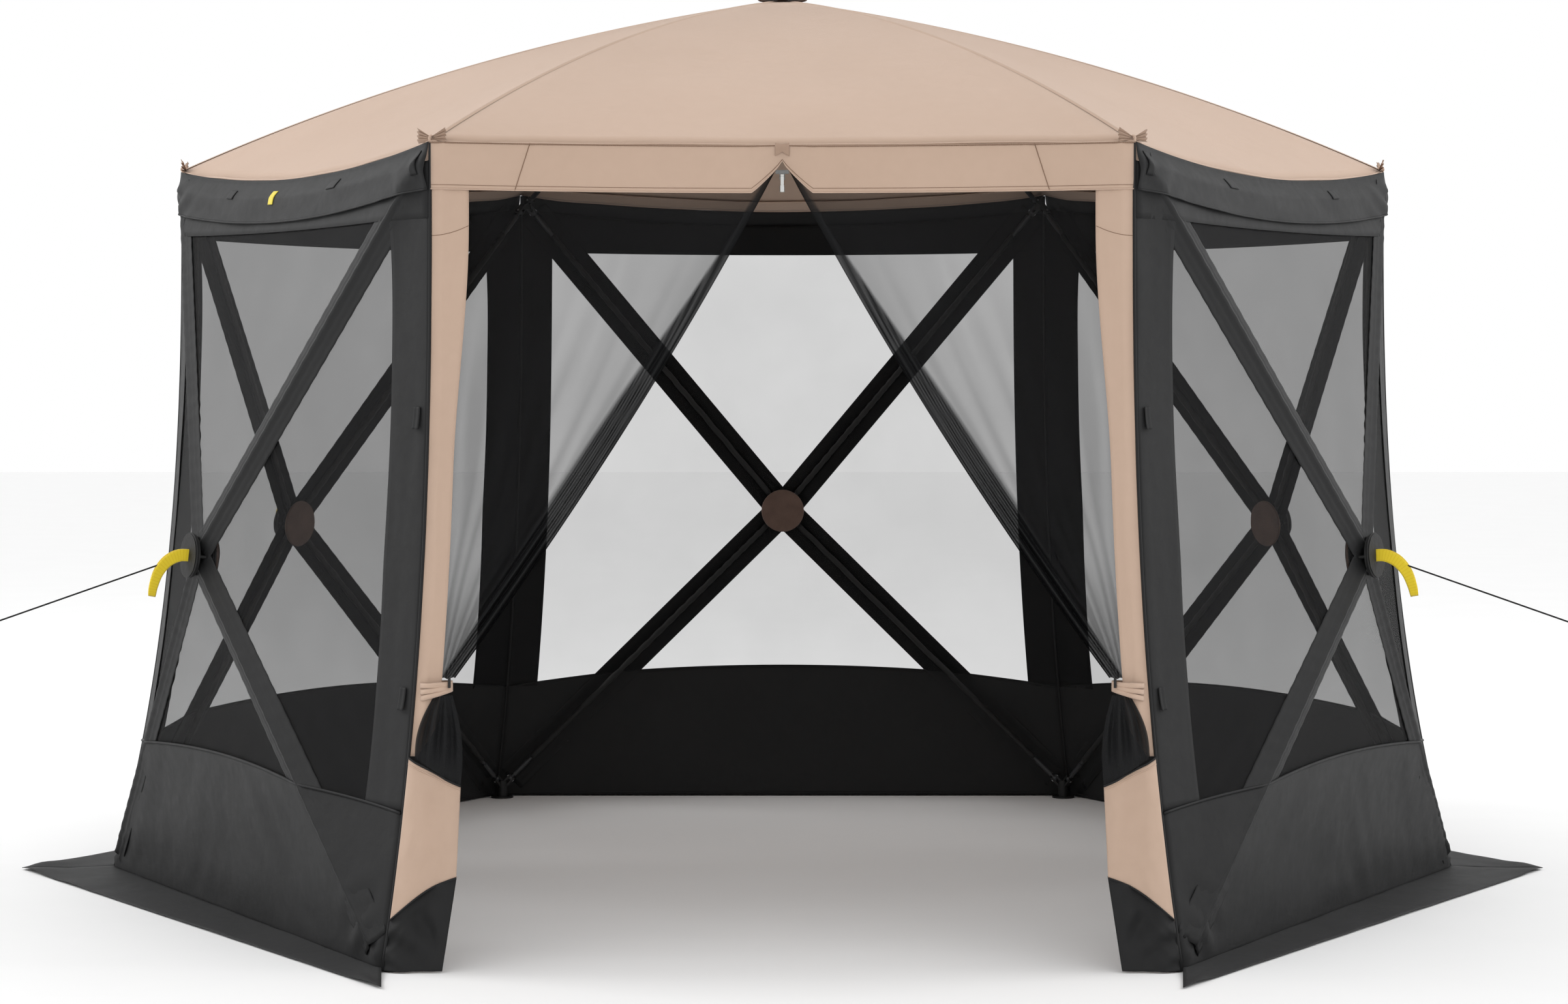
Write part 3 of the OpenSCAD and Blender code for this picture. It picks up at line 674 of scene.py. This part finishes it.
# ---- Mesh walls -------------------------------------------------------------------------------
# Five walls of fine black polyester netting, each one sheet from the seam of its ground band up to
# the valance. The poles push it out in four ridges and it is pulled in a little between them.
kick_h, kick_arch, wall_edge = 0.345, 0.055, 0.001
wall_lean = math.atan((pole_foot_r - pole_top_r) * apothem / (pole_top_z - pole_foot_z))


def net(name, hold, gather=False):
    """Fine black netting: hold is how much of the light its threads stop."""
    made = Finish(name, base_color=(0.006, 0.0062, 0.0068, 1), roughness=0.65,
                  specular_ior_level=0.2)
    turns = 2 * math.pi / 0.0018
    threads = (made.cut(0) * turns).sine() * (made.cut(1) * turns).sine()
    cloudy = made.mottle(5.0, 3.0)
    cover = threads * 0.02 + cloudy * 0.08 + (hold - 0.04)
    if gather:
        gathered = made.add("ShaderNodeAttribute", {"attribute_name": "gathered"}, out=2)
        cover = cover + gathered * (1 - hold)
    made.drive(alpha=cover, normal=made.bump(threads, 0.00006))
    return made


def follow_wall(made, k):
    """Bakes the piece's placement into its mesh."""
    start = on_wall(k, 0, 1.530, 0)
    normal = on_wall(k, 0, math.cos(wall_lean), math.sin(wall_lean))
    centre = on_wall(k, 0, hub_out, hub_h)
    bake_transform(made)


def seam_z(x):
    """Height of the seam between the netting and the ground band."""
    return kick_h + kick_arch * (1 - min(1, (x / half_w(kick_h)) ** 2))


def band_z(x, k=1):
    """Lower edge of the solid band under the valance: it is deeper near the corners."""
    return eave_z(x, k) - 0.098 - 0.040 * (abs(x) / (eave_r / 2)) ** 2


def wall_at(k, x, z, proud=0.0):
    return on_wall(k, x, skin_ap(x, z) + proud, z)


net_w, net_l, net_top = 1.66, 1.62, 0.045
net_hole = 0.050
wall_net, back_net = net("wall_net", 0.50), net("back_net", 0.36)
for k in range(1, 6):
    def net_place(u, v, k=k):
        side = 2 * u - 1
        low_x, high_x = side * half_w(kick_h), side * half_w(eave_h)
        z = mix(seam_z(low_x), eave_z(high_x, k) - net_top, v)
        return wall_at(k, side * (half_w(z) - wall_edge), z)

    bm = sheet_mesh([(56, 64, (net_w, net_l), net_place)])
    hub = on_wall(k, 0, hub_out, hub_h)
    lost = [face for face in bm.faces if (face.calc_center_median() - hub).length < net_hole]
    bmesh.ops.delete(bm, geom=lost, context="FACES")
    wall = piece(f"net_wall_{k}", bm, back_net if k == 3 else wall_net)
    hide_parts(f"mesh_wall_{k}")
    follow_wall(wall, k)


# ---- Solid bands on the mesh walls ------------------------------------------------------------
# Black cloth is sewn over the netting along every edge and over the four poles, where it makes the
# sleeves that hold them. The sleeve bands cross at the hub, and they wrinkle at their outer ends.
sleeve_w, side_strip_w, back_strip_w = 0.092, 0.125, 0.090
band_proud = 0.0025


def ridge_place(k, sx, up, t, across, proud):
    """A place beside the pole that runs from the hub to a corner, t = 0 to 1 along it."""
    foot = Vector((0, hub_h))
    end = Vector((pole_top_r / 2, pole_top_z)) if up else Vector((pole_foot_r / 2, pole_foot_z))
    way = (end - foot).normalized()
    p = foot.lerp(end, t) + Vector((-way.y, way.x)) * across
    z = max(p.y, 0.004)
    x = sx * max(-0.3, min(p.x, half_w(z) - 0.004))
    return on_wall(k, x, skin_ap(x, z) + proud, z)


def sleeve_profile(u, t):
    """How proud a sleeve band stands across its width: a soft ridge over the pole."""
    s = (u - 0.5) * sleeve_w
    bead = 0.0045 * math.exp(-(s / 0.010) ** 2) + 0.0018 * math.exp(-((abs(s) - 0.022) / 0.003) ** 2)
    return band_proud + bead


for k in range(1, 6):
    strip_w = back_strip_w if k == 3 else side_strip_w
    parts = []
    for sx in (-1, 1):
        for up in (True, False):
            def sleeve_at(u, v, sx=sx, up=up, k=k):
                t = mix(0.02, 0.975, v)
                across = (u - 0.5) * sleeve_w * sx * (1 if up else -1)
                wrinkle = 0.004 * smooth((t - 0.80) / 0.2) * ripple((v * 12, u * 3, k + sx), 3.2)
                tight = 0.0006 * math.sin(v * 160 + 6 * u)
                return ridge_place(k, sx, up, t, across * sx, sleeve_profile(u, t) + wrinkle + tight)

            parts.append((16, 84, (sleeve_w, 1.2), sleeve_at))
        def strip_at(u, v, sx=sx, k=k, strip_w=strip_w):
            z = mix(seam_z(sx * half_w(kick_h)), eave_h - 0.06, v)
            x = sx * (half_w(z) - 0.0005 - u * strip_w)
            crease = 0.0016 * ripple((u * 0.6, z * 0.7, k + sx), 7.0)
            return wall_at(k, x, z, (band_proud + 0.0008 + crease) * smooth(u * 8) + 0.0003)

        parts.append((12, 60, (strip_w, 1.45), strip_at))

    def band_at(u, v, k=k):
        x = (2 * u - 1) * (half_w(eave_h) - 0.002)
        z = mix(eave_z(x, k) - net_top, band_z(x, k) - 0.035, v)
        x = (2 * u - 1) * (half_w(z) - 0.002)
        return wall_at(k, x, z, band_proud + 0.0015)

    parts.append((60, 8, (1.57, 0.09), band_at))
    bm = sheet_mesh(parts, merge=1e-6)
    bands = thicken(piece(f"wall_bands_{k}", bm, black_finish), 0.0008)
    area = 4 * sleeve_w * 1.15 + 2 * strip_w * 1.44 + 1.57 * 0.09
    follow_wall(bands, k)
    if k == 1:
        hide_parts("corner_strips")


# ---- Ground bands -----------------------------------------------------------------------------
# The lowest part of each wall is solid black cloth with a slight sheen. It hangs in soft folds that
# run in from its corners, and a corded seam joins it to the netting above.
kick_l = 0.41
for k in range(1, 6):
    def kick_at(u, v, k=k):
        side = 2 * u - 1
        z = mix(0.003, seam_z(side * half_w(kick_h)) + 0.002, v)
        x = side * (half_w(z) - 0.0005)
        edge = 1 - abs(side)
        door_side = (k == 5 and side > 0) or (k == 1 and side < 0)
        fold = 0.006 * ripple((x * 0.9, z * 2.2, k), 3.4)
        fold += 0.004 * ripple((x * 2.5 + z * 1.8 * (1 if side > 0 else -1), z * 0.4, k + 9), 5.0)
        if door_side:
            fold += 0.010 * math.exp(-((edge - 0.10) / 0.09) ** 2) * math.sin(
                (z + 0.9 * edge) * 46) * smooth((0.26 - z) / 0.26)
        held = smooth(v * 5) * smooth((1 - v) * 6) * smooth(edge * 14)
        return wall_at(k, x, z, 0.004 * smooth(edge * 40) + fold * held)

    kick = thicken(piece(f"ground_band_{k}", sheet_mesh([(90, 30, (1.73, kick_l), kick_at)]),
                         black_finish), 0.001)
    bm = bmesh.new()
    tube(bm, [wall_at(k, side * (half_w(kick_h) - 0.002), seam_z(side * half_w(kick_h)), 0.005)
              for side in [i / 40 - 1 for i in range(81)]], 0.0032, 8)
    seam = piece(f"ground_seam_{k}", bm, black_finish)
    for part in (kick, seam):
        follow_wall(part, k)
    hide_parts("kick_panels")


# ---- Ground flap ------------------------------------------------------------------------------
# A strip of the same black cloth is sewn round the foot of the mesh walls and lies on the ground,
# to be weighed down. Its ends beside the doorway taper. Its black is painted lighter than the
# walls' black: painted light on the strip that faces up.
flap_w, flap_door_w = 0.210, 0.085
flap_in = base_r * apothem + 0.001
# Painted light: the black cloth made lighter where it lies facing up.
painted_light_flap_finish = woven("flap_cloth_painted_light", (0.022, 0.0222, 0.0228), (0.036, 0.0363, 0.037), crease=0.004,
                    roughness=0.7, sheen=0.02, gloss=0.22)
for k in range(1, 6):
    def flap_at(u, v, k=k):
        far, near = flap_in + flap_w, flap_in + flap_door_w
        side = 2 * u - 1
        out_l, out_r = far, far
        x_l, x_r = -far * math.tan(math.radians(30)), far * math.tan(math.radians(30))
        door_end = (far - near * 0.5) / math.sin(math.radians(60))
        if k == 5:
            out_r, x_r = near, door_end
        if k == 1:
            out_l, x_l = near, -door_end
        inner = Vector((side * (base_r / 2 - 0.001), flap_in))
        outer = Vector((mix(x_l, x_r, u), mix(out_l, out_r, u)))
        p = inner.lerp(outer, v)
        lift = 0.004 + 0.004 * abs(ripple((p.x, p.y, k), 5.0)) + 0.006 * (1 - v) ** 3
        lift += 0.007 * math.exp(-((abs(side) - 0.93) / 0.05) ** 2) * (0.5 + 0.5 * math.sin(v * 9)) * v
        return on_wall(k, p.x, p.y, lift)

    flap = thicken(piece(f"ground_flap_{k}", sheet_mesh([(80, 14, (1.9, flap_w), flap_at)]),
                         painted_light_flap_finish), 0.0012)
    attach(flap, "house")
    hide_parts("ground_flap")


# ---- Hook-and-loop tabs -----------------------------------------------------------------------
# Four short black tabs of hook-and-loop tape, sewn by their upper ends to the strips beside the
# doorway, two to each side.
tab_w, tab_l, tab_in = 0.020, 0.050, 0.030
for k, sx in ((1, -1), (5, 1)):
    tabs = []
    for z_middle in (0.595, 1.223):
        def tab_at(u, v, k=k, sx=sx, z_middle=z_middle):
            z = z_middle + (v - 0.5) * tab_l
            x = sx * (half_w(z) - tab_in) + (u - 0.5) * tab_w
            lifted = 0.004 * (1 - v) ** 2 + 0.0008 * math.sin(9 * u + z_middle)
            return wall_at(k, x, z, band_proud + 0.0045 + lifted)

        tabs.append((6, 12, (tab_w, tab_l), tab_at))
    tab = thicken(piece(f"wall_tabs_{k}", sheet_mesh(tabs), black_finish), 0.0022)
    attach(tab, "house")
    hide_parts("wall_tabs")


# ---- Corner seams -----------------------------------------------------------------------------
# The cloth of two walls meets in a corded seam at each corner, from the ground to the eaves.
def corner_line(c, steps=44):
    angle = math.radians(60 * c - 60)
    heights = [mix(0.004, eave_h - 0.006, i / steps) for i in range(steps + 1)]
    return [Vector((math.cos(angle), math.sin(angle), 0)) * (corner_r(z) + 0.0005)
            + Vector((0, 0, z)) for z in heights]


welt("corner_seams", [corner_line(c) for c in range(6)], 0.0038, black_finish, 8)


# ---- Poles and their sleeves ------------------------------------------------------------------
# Grey pultruded fibreglass rods with dark ferrules. Four straight ones cross every mesh wall and six
# bowed ones carry the roof; each runs in a tube of cloth that is sewn to its wall or its seam.
pole_r, sleeve_slack = 0.0055, 0.0026
sleeve_from_pin, sleeve_from_hub = 0.125, 0.070
roof_pin_out, roof_pin_z, roof_pole_end = 1.511, 1.825, 0.062
pole_finish = Finish("pole_fibreglass", roughness=0.38, specular_ior_level=0.45)
grain = pole_finish.add("ShaderNodeTexNoise", {}, {"Vector": pole_finish.place(), "Scale": 140.0})
pole_finish.drive(base_color=pole_finish.shades(grain, (0.018, 0.019, 0.021), (0.045, 0.047, 0.05)),
                  normal=pole_finish.bump(grain, 0.0003))
plain_black = Finish("black_sleeve", roughness=0.68, sheen_weight=0.02, specular_ior_level=0.3)
plain_black.drive(
    base_color=plain_black.shades(plain_black.mottle(28.0), (0.011,) * 3, (0.021,) * 3),
    normal=plain_black.bump(plain_black.mottle(60.0, 5.0), 0.0016))


def bunched(line, radius, turns):
    """A closed tube of loose cloth, with small gathers along it."""
    bm = bmesh.new()
    tube(bm, line, radius, 12)
    for vert in bm.verts:
        vert.co += vert.normal * 0.0012 * math.sin(turns * vert.co.length * 40 + vert.co.x * 90)
    return bm


for k in range(1, 6):
    for pole in "abcd":
        node = f"wall_pole_{k}{pole}"
        finish_node(node, pole_finish)
        sx = -1 if pole in "ac" else 1
        corner = (Vector((sx * pole_top_r / 2, -pole_top_r * apothem, pole_top_z)) if pole in "ab"
                  else Vector((sx * pole_foot_r / 2, -pole_foot_r * apothem, pole_foot_z)))
        hub = Vector((0, -hub_out, hub_h))
        way = (hub - corner).normalized()
        first, last = corner + way * sleeve_from_pin, hub - way * sleeve_from_hub
        turn = Matrix.Rotation(math.radians(60 * k), 3, "Z")
        line = [turn @ first.lerp(last, i / 90) for i in range(91)]
        sleeve = piece(f"sleeve_{k}{pole}", bunched(line, pole_r + sleeve_slack, 9), plain_black)
        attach(sleeve, node)

roof_hub_z = (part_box("roof_hub")[0][2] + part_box("roof_hub")[1][2]) / 2
for c in range(6):
    node = f"roof_pole_{c}"
    finish_node(node, pole_finish)
    angle = math.radians(60 * c - 60)
    pin, end = Vector((roof_pin_out, roof_pin_z)), Vector((roof_pole_end, roof_hub_z))
    bow, steps = ridge_bow + 0.002, 90
    side = Vector((end.y - pin.y, pin.x - end.x)).normalized()
    line = []
    for i in range(8, steps - 6):
        t = i / steps
        p = pin.lerp(end, t) + side * (4 * bow * t * (1 - t))
        line.append(Vector((math.cos(angle) * p.x, math.sin(angle) * p.x, p.y)))
    sleeve = piece(f"roof_sleeve_{c}", bunched(line, pole_r + sleeve_slack, 7), plain_tan)
    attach(sleeve, node)


# ---- Hubs and hub covers ----------------------------------------------------------------------
# Black moulded plates hold the inner ends of the poles. A padded round patch covers each wall hub:
# on the inside of the house it is tan cloth painted brown as shade, and on the outside it is black
# where the strap is sewn through it.
moulded = Finish("black_moulding", roughness=0.5, specular_ior_level=0.4)
moulded.drive(base_color=moulded.shades(moulded.mottle(60.0), (0.006,) * 3, (0.014,) * 3),
              normal=moulded.bump(moulded.mottle(900.0), 0.0002))
steel = Finish("pin_steel", metallic=1.0, specular_ior_level=0.5)
streaks = steel.add("ShaderNodeTexNoise", {}, {"Vector": steel.place(), "Scale": 400.0})
steel.drive(base_color=steel.shades(streaks, (0.42, 0.43, 0.45), (0.66, 0.67, 0.69)),
            roughness=streaks * 0.2 + 0.2)
for node in ["roof_hub", "top_brackets", "feet"] + [f"wall_hub_{k}" for k in range(1, 6)]:
    finish_node(node, moulded)
finish_node("pivot_pins", steel)
cover_r, outer_cover_r, rim_r = 0.0635, 0.0535, 0.0032
inner_face, outer_face = 0.0222, 0.0220
for k in range(1, 6):
    hub = on_wall(k, 0, hub_out, hub_h)
    normal = on_wall(k, 0, math.cos(wall_lean), math.sin(wall_lean))
    # The inner cover is tan cloth; its brown is painted shade.
    for name, finish, slot, r, base, way in (
            ("inner", cap_brown_and_hub_shade_finish, "cap_cloth", cover_r, inner_face, -normal),
            ("outer", plain_black, "black_cloth", outer_cover_r, outer_face, normal)):
        start = hub + way * (base + 0.0004)
        turn = Matrix.Translation(start) @ way.to_track_quat("Z", "Y").to_matrix().to_4x4()
        bm = bmesh.new()
        bmesh.ops.create_circle(bm, cap_ends=True, segments=64, radius=r, matrix=turn)
        faces = [f for f in bm.faces]
        for inset, rise in ((0.002, 0.002), (0.006, 0.0018), (0.012, 0.0012), (0.022, 0.0008)):
            bmesh.ops.inset_region(bm, faces=faces, thickness=inset, depth=0)
            bmesh.ops.translate(bm, vec=way * rise, verts=list({v for f in faces for v in f.verts}))
        bmesh.ops.recalc_face_normals(bm, faces=bm.faces)
        for vert in bm.verts:
            vert.co += way * 0.0011 * ripple(vert.co, 42.0, k)
        cover = piece(f"hub_cover_{name}_{k}", bm, finish)
        bm = bmesh.new()
        ring(bm, start + way * 0.001, way, Vector((0, 0, 1)).cross(way), r - 0.001, rim_r)
        rim = piece(f"hub_rim_{name}_{k}", bm, finish)
        for part in (cover, rim):
            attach(part, f"wall_hub_{k}")


# ---- Door jambs -------------------------------------------------------------------------------
# A tan strip runs down each side of the doorway, folded round the corner so that its outer edge
# catches the light. It narrows towards the tie and tucks in behind the door's lower panel.
jamb_w, jamb_low_w, jamb_foot, jamb_fold = 0.085, 0.058, 0.47, 0.029


def jamb_width(z):
    if z > 1.1:
        return mix(jamb_low_w, jamb_w, smooth((z - 1.1) / 0.55))
    return jamb_low_w * smooth((z - jamb_foot + 0.05) / 0.14)


def jamb_at(s, u, z, proud=0.0):
    """A place on the jamb: u = 0 at the corner, 1 at its inner edge."""
    from_corner = u * jamb_width(z)
    turned = 0.010 * (1 - smooth(from_corner / jamb_fold))
    crease = 0.0012 * ripple((u * 0.7 + s, z * 1.3, 0), 6.0)
    rolled = 0.004 * smooth((u - 0.92) / 0.08)
    x = s * (half_w(z) - 0.0015 - from_corner)
    return Vector((x, -(corner_ap(z) + 0.010 - turned + crease - rolled + proud), z))


for s in (-1, 1):
    def jamb_place(u, v, s=s):
        return jamb_at(s, u, mix(jamb_foot, eave_h - 0.09, v))

    bm = sheet_mesh([(24, 110, (jamb_w, 1.30), jamb_place)])
    if s > 0:
        bmesh.ops.reverse_faces(bm, faces=bm.faces)
    name = "right" if s > 0 else "left"
    jamb = thicken(piece(f"door_jamb_{name}", bm, tan_finish), 0.0012)
    seam = [jamb_at(s, i / 20, 1.632 + 0.022 * (i / 20) ** 2, 0.0004) for i in range(21)]
    seam = welt(f"jamb_seam_{name}", [seam], 0.0009, dark_tan, 6)
    hem = [jamb_at(s, 0.985, mix(jamb_foot + 0.03, eave_h - 0.1, i / 70), 0.0006) for i in range(71)]
    hem = welt(f"jamb_hem_{name}", [hem], 0.0012, plain_tan, 6)
    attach(jamb, "house")
    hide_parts("door_jambs")


# ---- Curtains ---------------------------------------------------------------------------------
# Two curtains of netting meet at the zip under the valance. Each is drawn aside and gathered in a
# tie on its jamb, so its edge hangs in a dark bunched roll. Below the tie the netting opens again.
tie_x, tie_z = 0.756, 0.618
curtain_top, curtain_low = 1.795, 0.640
edge_bow, roll_w = 0.030, 0.066


def curtain_edge(v):
    """The curtain's inner edge, from v = 0 at the zip to 1 at the tie, as (x, z)."""
    z = mix(curtain_top, curtain_low, v)
    x = mix(0.006, tie_x - 0.022, v) - edge_bow * 4 * v * (1 - v)
    return max(0.006, x), z


def curtain_at(s, u, v):
    """u = 0 at the hanging inner edge, 1 at the jamb."""
    inner, z = curtain_edge(v)
    outer = mix(half_w(z) - 0.055, tie_x + 0.020, smooth((v - 0.55) / 0.45))
    x = mix(inner, outer, u)
    width = outer - inner
    fold = 0.020 * math.exp(-(u * width / 0.05)) * math.sin(u * width * 300) * (0.25 + v)
    soft = 0.020 * ripple((u * 5.0, v * 0.8, s), 1.6) * (1 - abs(2 * v - 1) ** 3)
    y = -(corner_ap(z) - 0.012 - 0.012 * smooth(v * 3)) + fold + soft * 0.7
    return Vector((s * x, y, z))


def mark(made, name, value):
    """Stores a number on every vertex, from its place in the flat cut."""
    layer = made.data.attributes.new(name, "FLOAT", "POINT")
    uv = made.data.uv_layers["cut"].data
    for face in made.data.polygons:
        for loop in face.loop_indices:
            layer.data[made.data.loops[loop].vertex_index].value = value(*uv[loop].uv)


curtain_net = net("curtain_net", 0.38, gather=True)
curtain_w, curtain_l = 0.79, 1.32


def gathered_at(x, y):
    """How densely the netting is bunched, over the curtain's flat cut."""
    u, v = x / curtain_w, y / curtain_l
    width = mix(0.78, 0.045, v)
    roll = mix(0.016, roll_w, smooth(v * 1.7)) * (1 - 0.45 * smooth((v - 0.6) / 0.4))
    dense = 1 - smooth((u * width - roll * 0.85) / (roll * 0.4))
    streak = 0.22 * (0.5 + 0.5 * math.sin(u * 46 + 3 * ripple((u * 4, v, 0), 3.0))) * smooth(v * 1.4)
    veil = 0.30 * math.exp(-u * 5.0) + 0.5 * smooth((v - 0.72) / 0.28)
    return min(1, max(dense * (0.93 + 0.07 * math.sin(u * width * 900)), streak + veil))


flare_foot_in, flare_foot_out = (0.716, 0.405), (0.819, 0.467)
for s in (-1, 1):
    name = "right" if s > 0 else "left"

    def curtain_place(u, v, s=s):
        return curtain_at(s, u, v)

    bm = sheet_mesh([(120, 90, (curtain_w, curtain_l), curtain_place)])
    curtain = piece(f"curtain_net_{name}", bm, curtain_net)
    mark(curtain, "gathered", gathered_at)
    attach(curtain, "house")
    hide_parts(f"curtain_{name}")

    def flare_at(u, v, s=s):
        top = Vector((tie_x - 0.020 + 0.040 * u, tie_z - 0.012))
        foot = Vector(flare_foot_in).lerp(Vector(flare_foot_out), u)
        p = top.lerp(foot, v)
        belly = 0.012 * math.sin(math.pi * v) * (1 - 2 * u)
        fold = (0.006 + 0.010 * v) * math.sin(u * 21) * math.sin(math.pi * min(1, v * 0.9 + 0.12))
        y = -(corner_ap(p.y) + 0.012 + 0.012 * math.sin(math.pi * u) + fold * 0.6)
        return Vector((s * (p.x - belly), y, p.y))

    bm = sheet_mesh([(44, 40, (0.13, 0.19), flare_at)])
    flare = piece(f"curtain_flare_{name}", bm, curtain_net)
    mark(flare, "gathered", lambda x, y: 0.90 + 0.1 * math.sin(x * 420) * (1 - y / 0.4))
    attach(flare, "house")


# ---- Lower door panels ------------------------------------------------------------------------
# Under the netting each curtain is solid: a tan panel, seamed to the netting on a slant, over a
# black foot that is folded into the corner and touches the ground.
panel_corners = ((0.716, 0.405), (0.819, 0.467), (0.8665, 0.112), (0.7226, 0.205))
foot_corners = ((0.7226, 0.208), (0.8665, 0.116), (0.884, 0.004), (0.751, 0.004))
corner_room = 0.0015
for s in (-1, 1):
    name = "right" if s > 0 else "left"

    def patch_at(corners, u, v, proud, s=s, curve=0.0):
        a, b, c, d = [Vector(p) for p in corners]
        p = a.lerp(b, u).lerp(d.lerp(c, u), v)
        p.y += curve * math.sin(math.pi * u) * v
        p.x = mix(a.lerp(d, v).x, half_w(p.y) - corner_room, u)
        fold = 0.010 * math.sin(math.pi * u) + 0.007 * math.sin(u * 9 + v * 1.2) * (1 - 0.4 * v)
        fold += 0.003 * ripple((u * 1.4, v * 1.5, s), 4.0)
        return Vector((s * p.x, -(corner_ap(p.y) + proud + fold), p.y))

    def panel_place(u, v, s=s):
        return patch_at(panel_corners, u, v, 0.012, s, 0.016)

    def foot_place(u, v, s=s):
        place = patch_at(foot_corners, u, v, 0.006, s, 0.016 * (1 - v))
        deep = 0.006 * math.sin((u * 0.9 + v) * 13) * smooth(u * 3) * math.sin(math.pi * v)
        return place + Vector((0, -deep, 0.016 * math.sin(math.pi * u) * (1 - v) * (1 - v)))

    for part, place, finish, slot, size in (
            ("panel", panel_place, tan_finish, "tan_cloth", (0.16, 0.32)),
            ("foot", foot_place, black_finish, "black_cloth", (0.16, 0.17))):
        bm = sheet_mesh([(40, 40, size, place)])
        if s < 0:
            bmesh.ops.reverse_faces(bm, faces=bm.faces)
        made = thicken(piece(f"door_{part}_{name}", bm, finish), 0.0012)
        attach(made, "house")
    lines = [[patch_at(panel_corners, i / 30, v, 0.0135, s, 0.016) for i in range(31)]
             for v in (0.0, 0.035)]
    lines.append([patch_at(panel_corners, i / 30, 0.995, 0.0135, s, 0.016) for i in range(31)])
    welt(f"door_seams_{name}", [lines[0], lines[2]], 0.0022, black_finish, 8)
    welt(f"door_piping_{name}", [lines[1]], 0.0014, plain_tan, 8)


# ---- Ties -------------------------------------------------------------------------------------
# A tan strap sewn into each corner seam goes twice round the curtain and its jamb, a little higher
# on the inside, and closes with a small toggle.
tie_w, tie_turns = 0.011, 3
for s in (-1, 1):
    name = "right" if s > 0 else "left"
    straps = []
    for turn_no in range(tie_turns):
        def tie_at(u, v, s=s, turn_no=turn_no):
            angle = 2 * math.pi * u
            x = 0.773 + 0.036 * math.cos(angle)
            depth = 0.030 * math.sin(angle)
            tilt = (0.773 - x) * (0.30 - 0.12 * turn_no)
            z = tie_z - 0.010 + 0.0105 * turn_no + tilt + (v - 0.5) * tie_w
            puff = 0.0014 * math.sin(math.pi * v) + 0.001 * ripple((u * 3, v, turn_no + s), 3.0)
            y = -(corner_ap(tie_z) - 0.002) + depth * (1 + puff * 40) * 0.98
            return Vector((s * x, y - puff, z))

        straps.append((64, 5, (0.21, tie_w), tie_at))
    tie = thicken(piece(f"tie_band_{name}", sheet_mesh(straps, merge=1e-5), tan_finish), 0.0016)
    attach(tie, "house")
    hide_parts("tie_backs")
    toggle = bmesh.new()
    spot = Vector((s * 0.742, -(corner_ap(tie_z) + 0.022), tie_z + 0.016))
    tube(toggle, [spot + Vector((0, 0, -0.011)), spot + Vector((0, 0, -0.009)),
                  spot + Vector((0, 0, 0.009)), spot + Vector((0, 0, 0.011))], 0.0032, 12)
    toggle = piece(f"tie_toggle_{name}", toggle, moulded)
    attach(toggle, "house")


# ---- Zip --------------------------------------------------------------------------------------
# The two curtains close on a zip. Its silver slider is parked at the top, under the notch of the
# valance, and its pull tab hangs down. The slider's metal is painted darker than the pull's: painted
# shade under the notch.
zip_metal = Finish("zip_metal", metallic=1.0, base_color=(0.62, 0.62, 0.60, 1))
scuffs = zip_metal.mottle(300.0)
zip_metal.drive(roughness=scuffs * 0.25 + 0.2, normal=zip_metal.bump(scuffs, 0.0002))
# Painted shade: the slider's silver made dark where it sits under the valance's notch.
shaded_slider_metal = Finish("zip_slider_painted_shade", metallic=1.0, base_color=(0.20, 0.20, 0.195, 1))
shaded_slider_metal.drive(roughness=shaded_slider_metal.mottle(300.0) * 0.2 + 0.35)
finish_node("zip_slider", shaded_slider_metal)
finish_node("zip_pull", zip_metal)
zip_pull_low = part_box("zip_pull")[0]
grip = bmesh.new()
grip_y = zip_pull_low[1] + 0.002
tube(grip, [Vector((0, grip_y, zip_pull_low[2] + h)) for h in (0.0, 0.001, 0.014, 0.015)],
     0.0058, 16)
grip = piece("zip_pull_grip", grip, zip_metal)
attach(grip, "zip_pull")
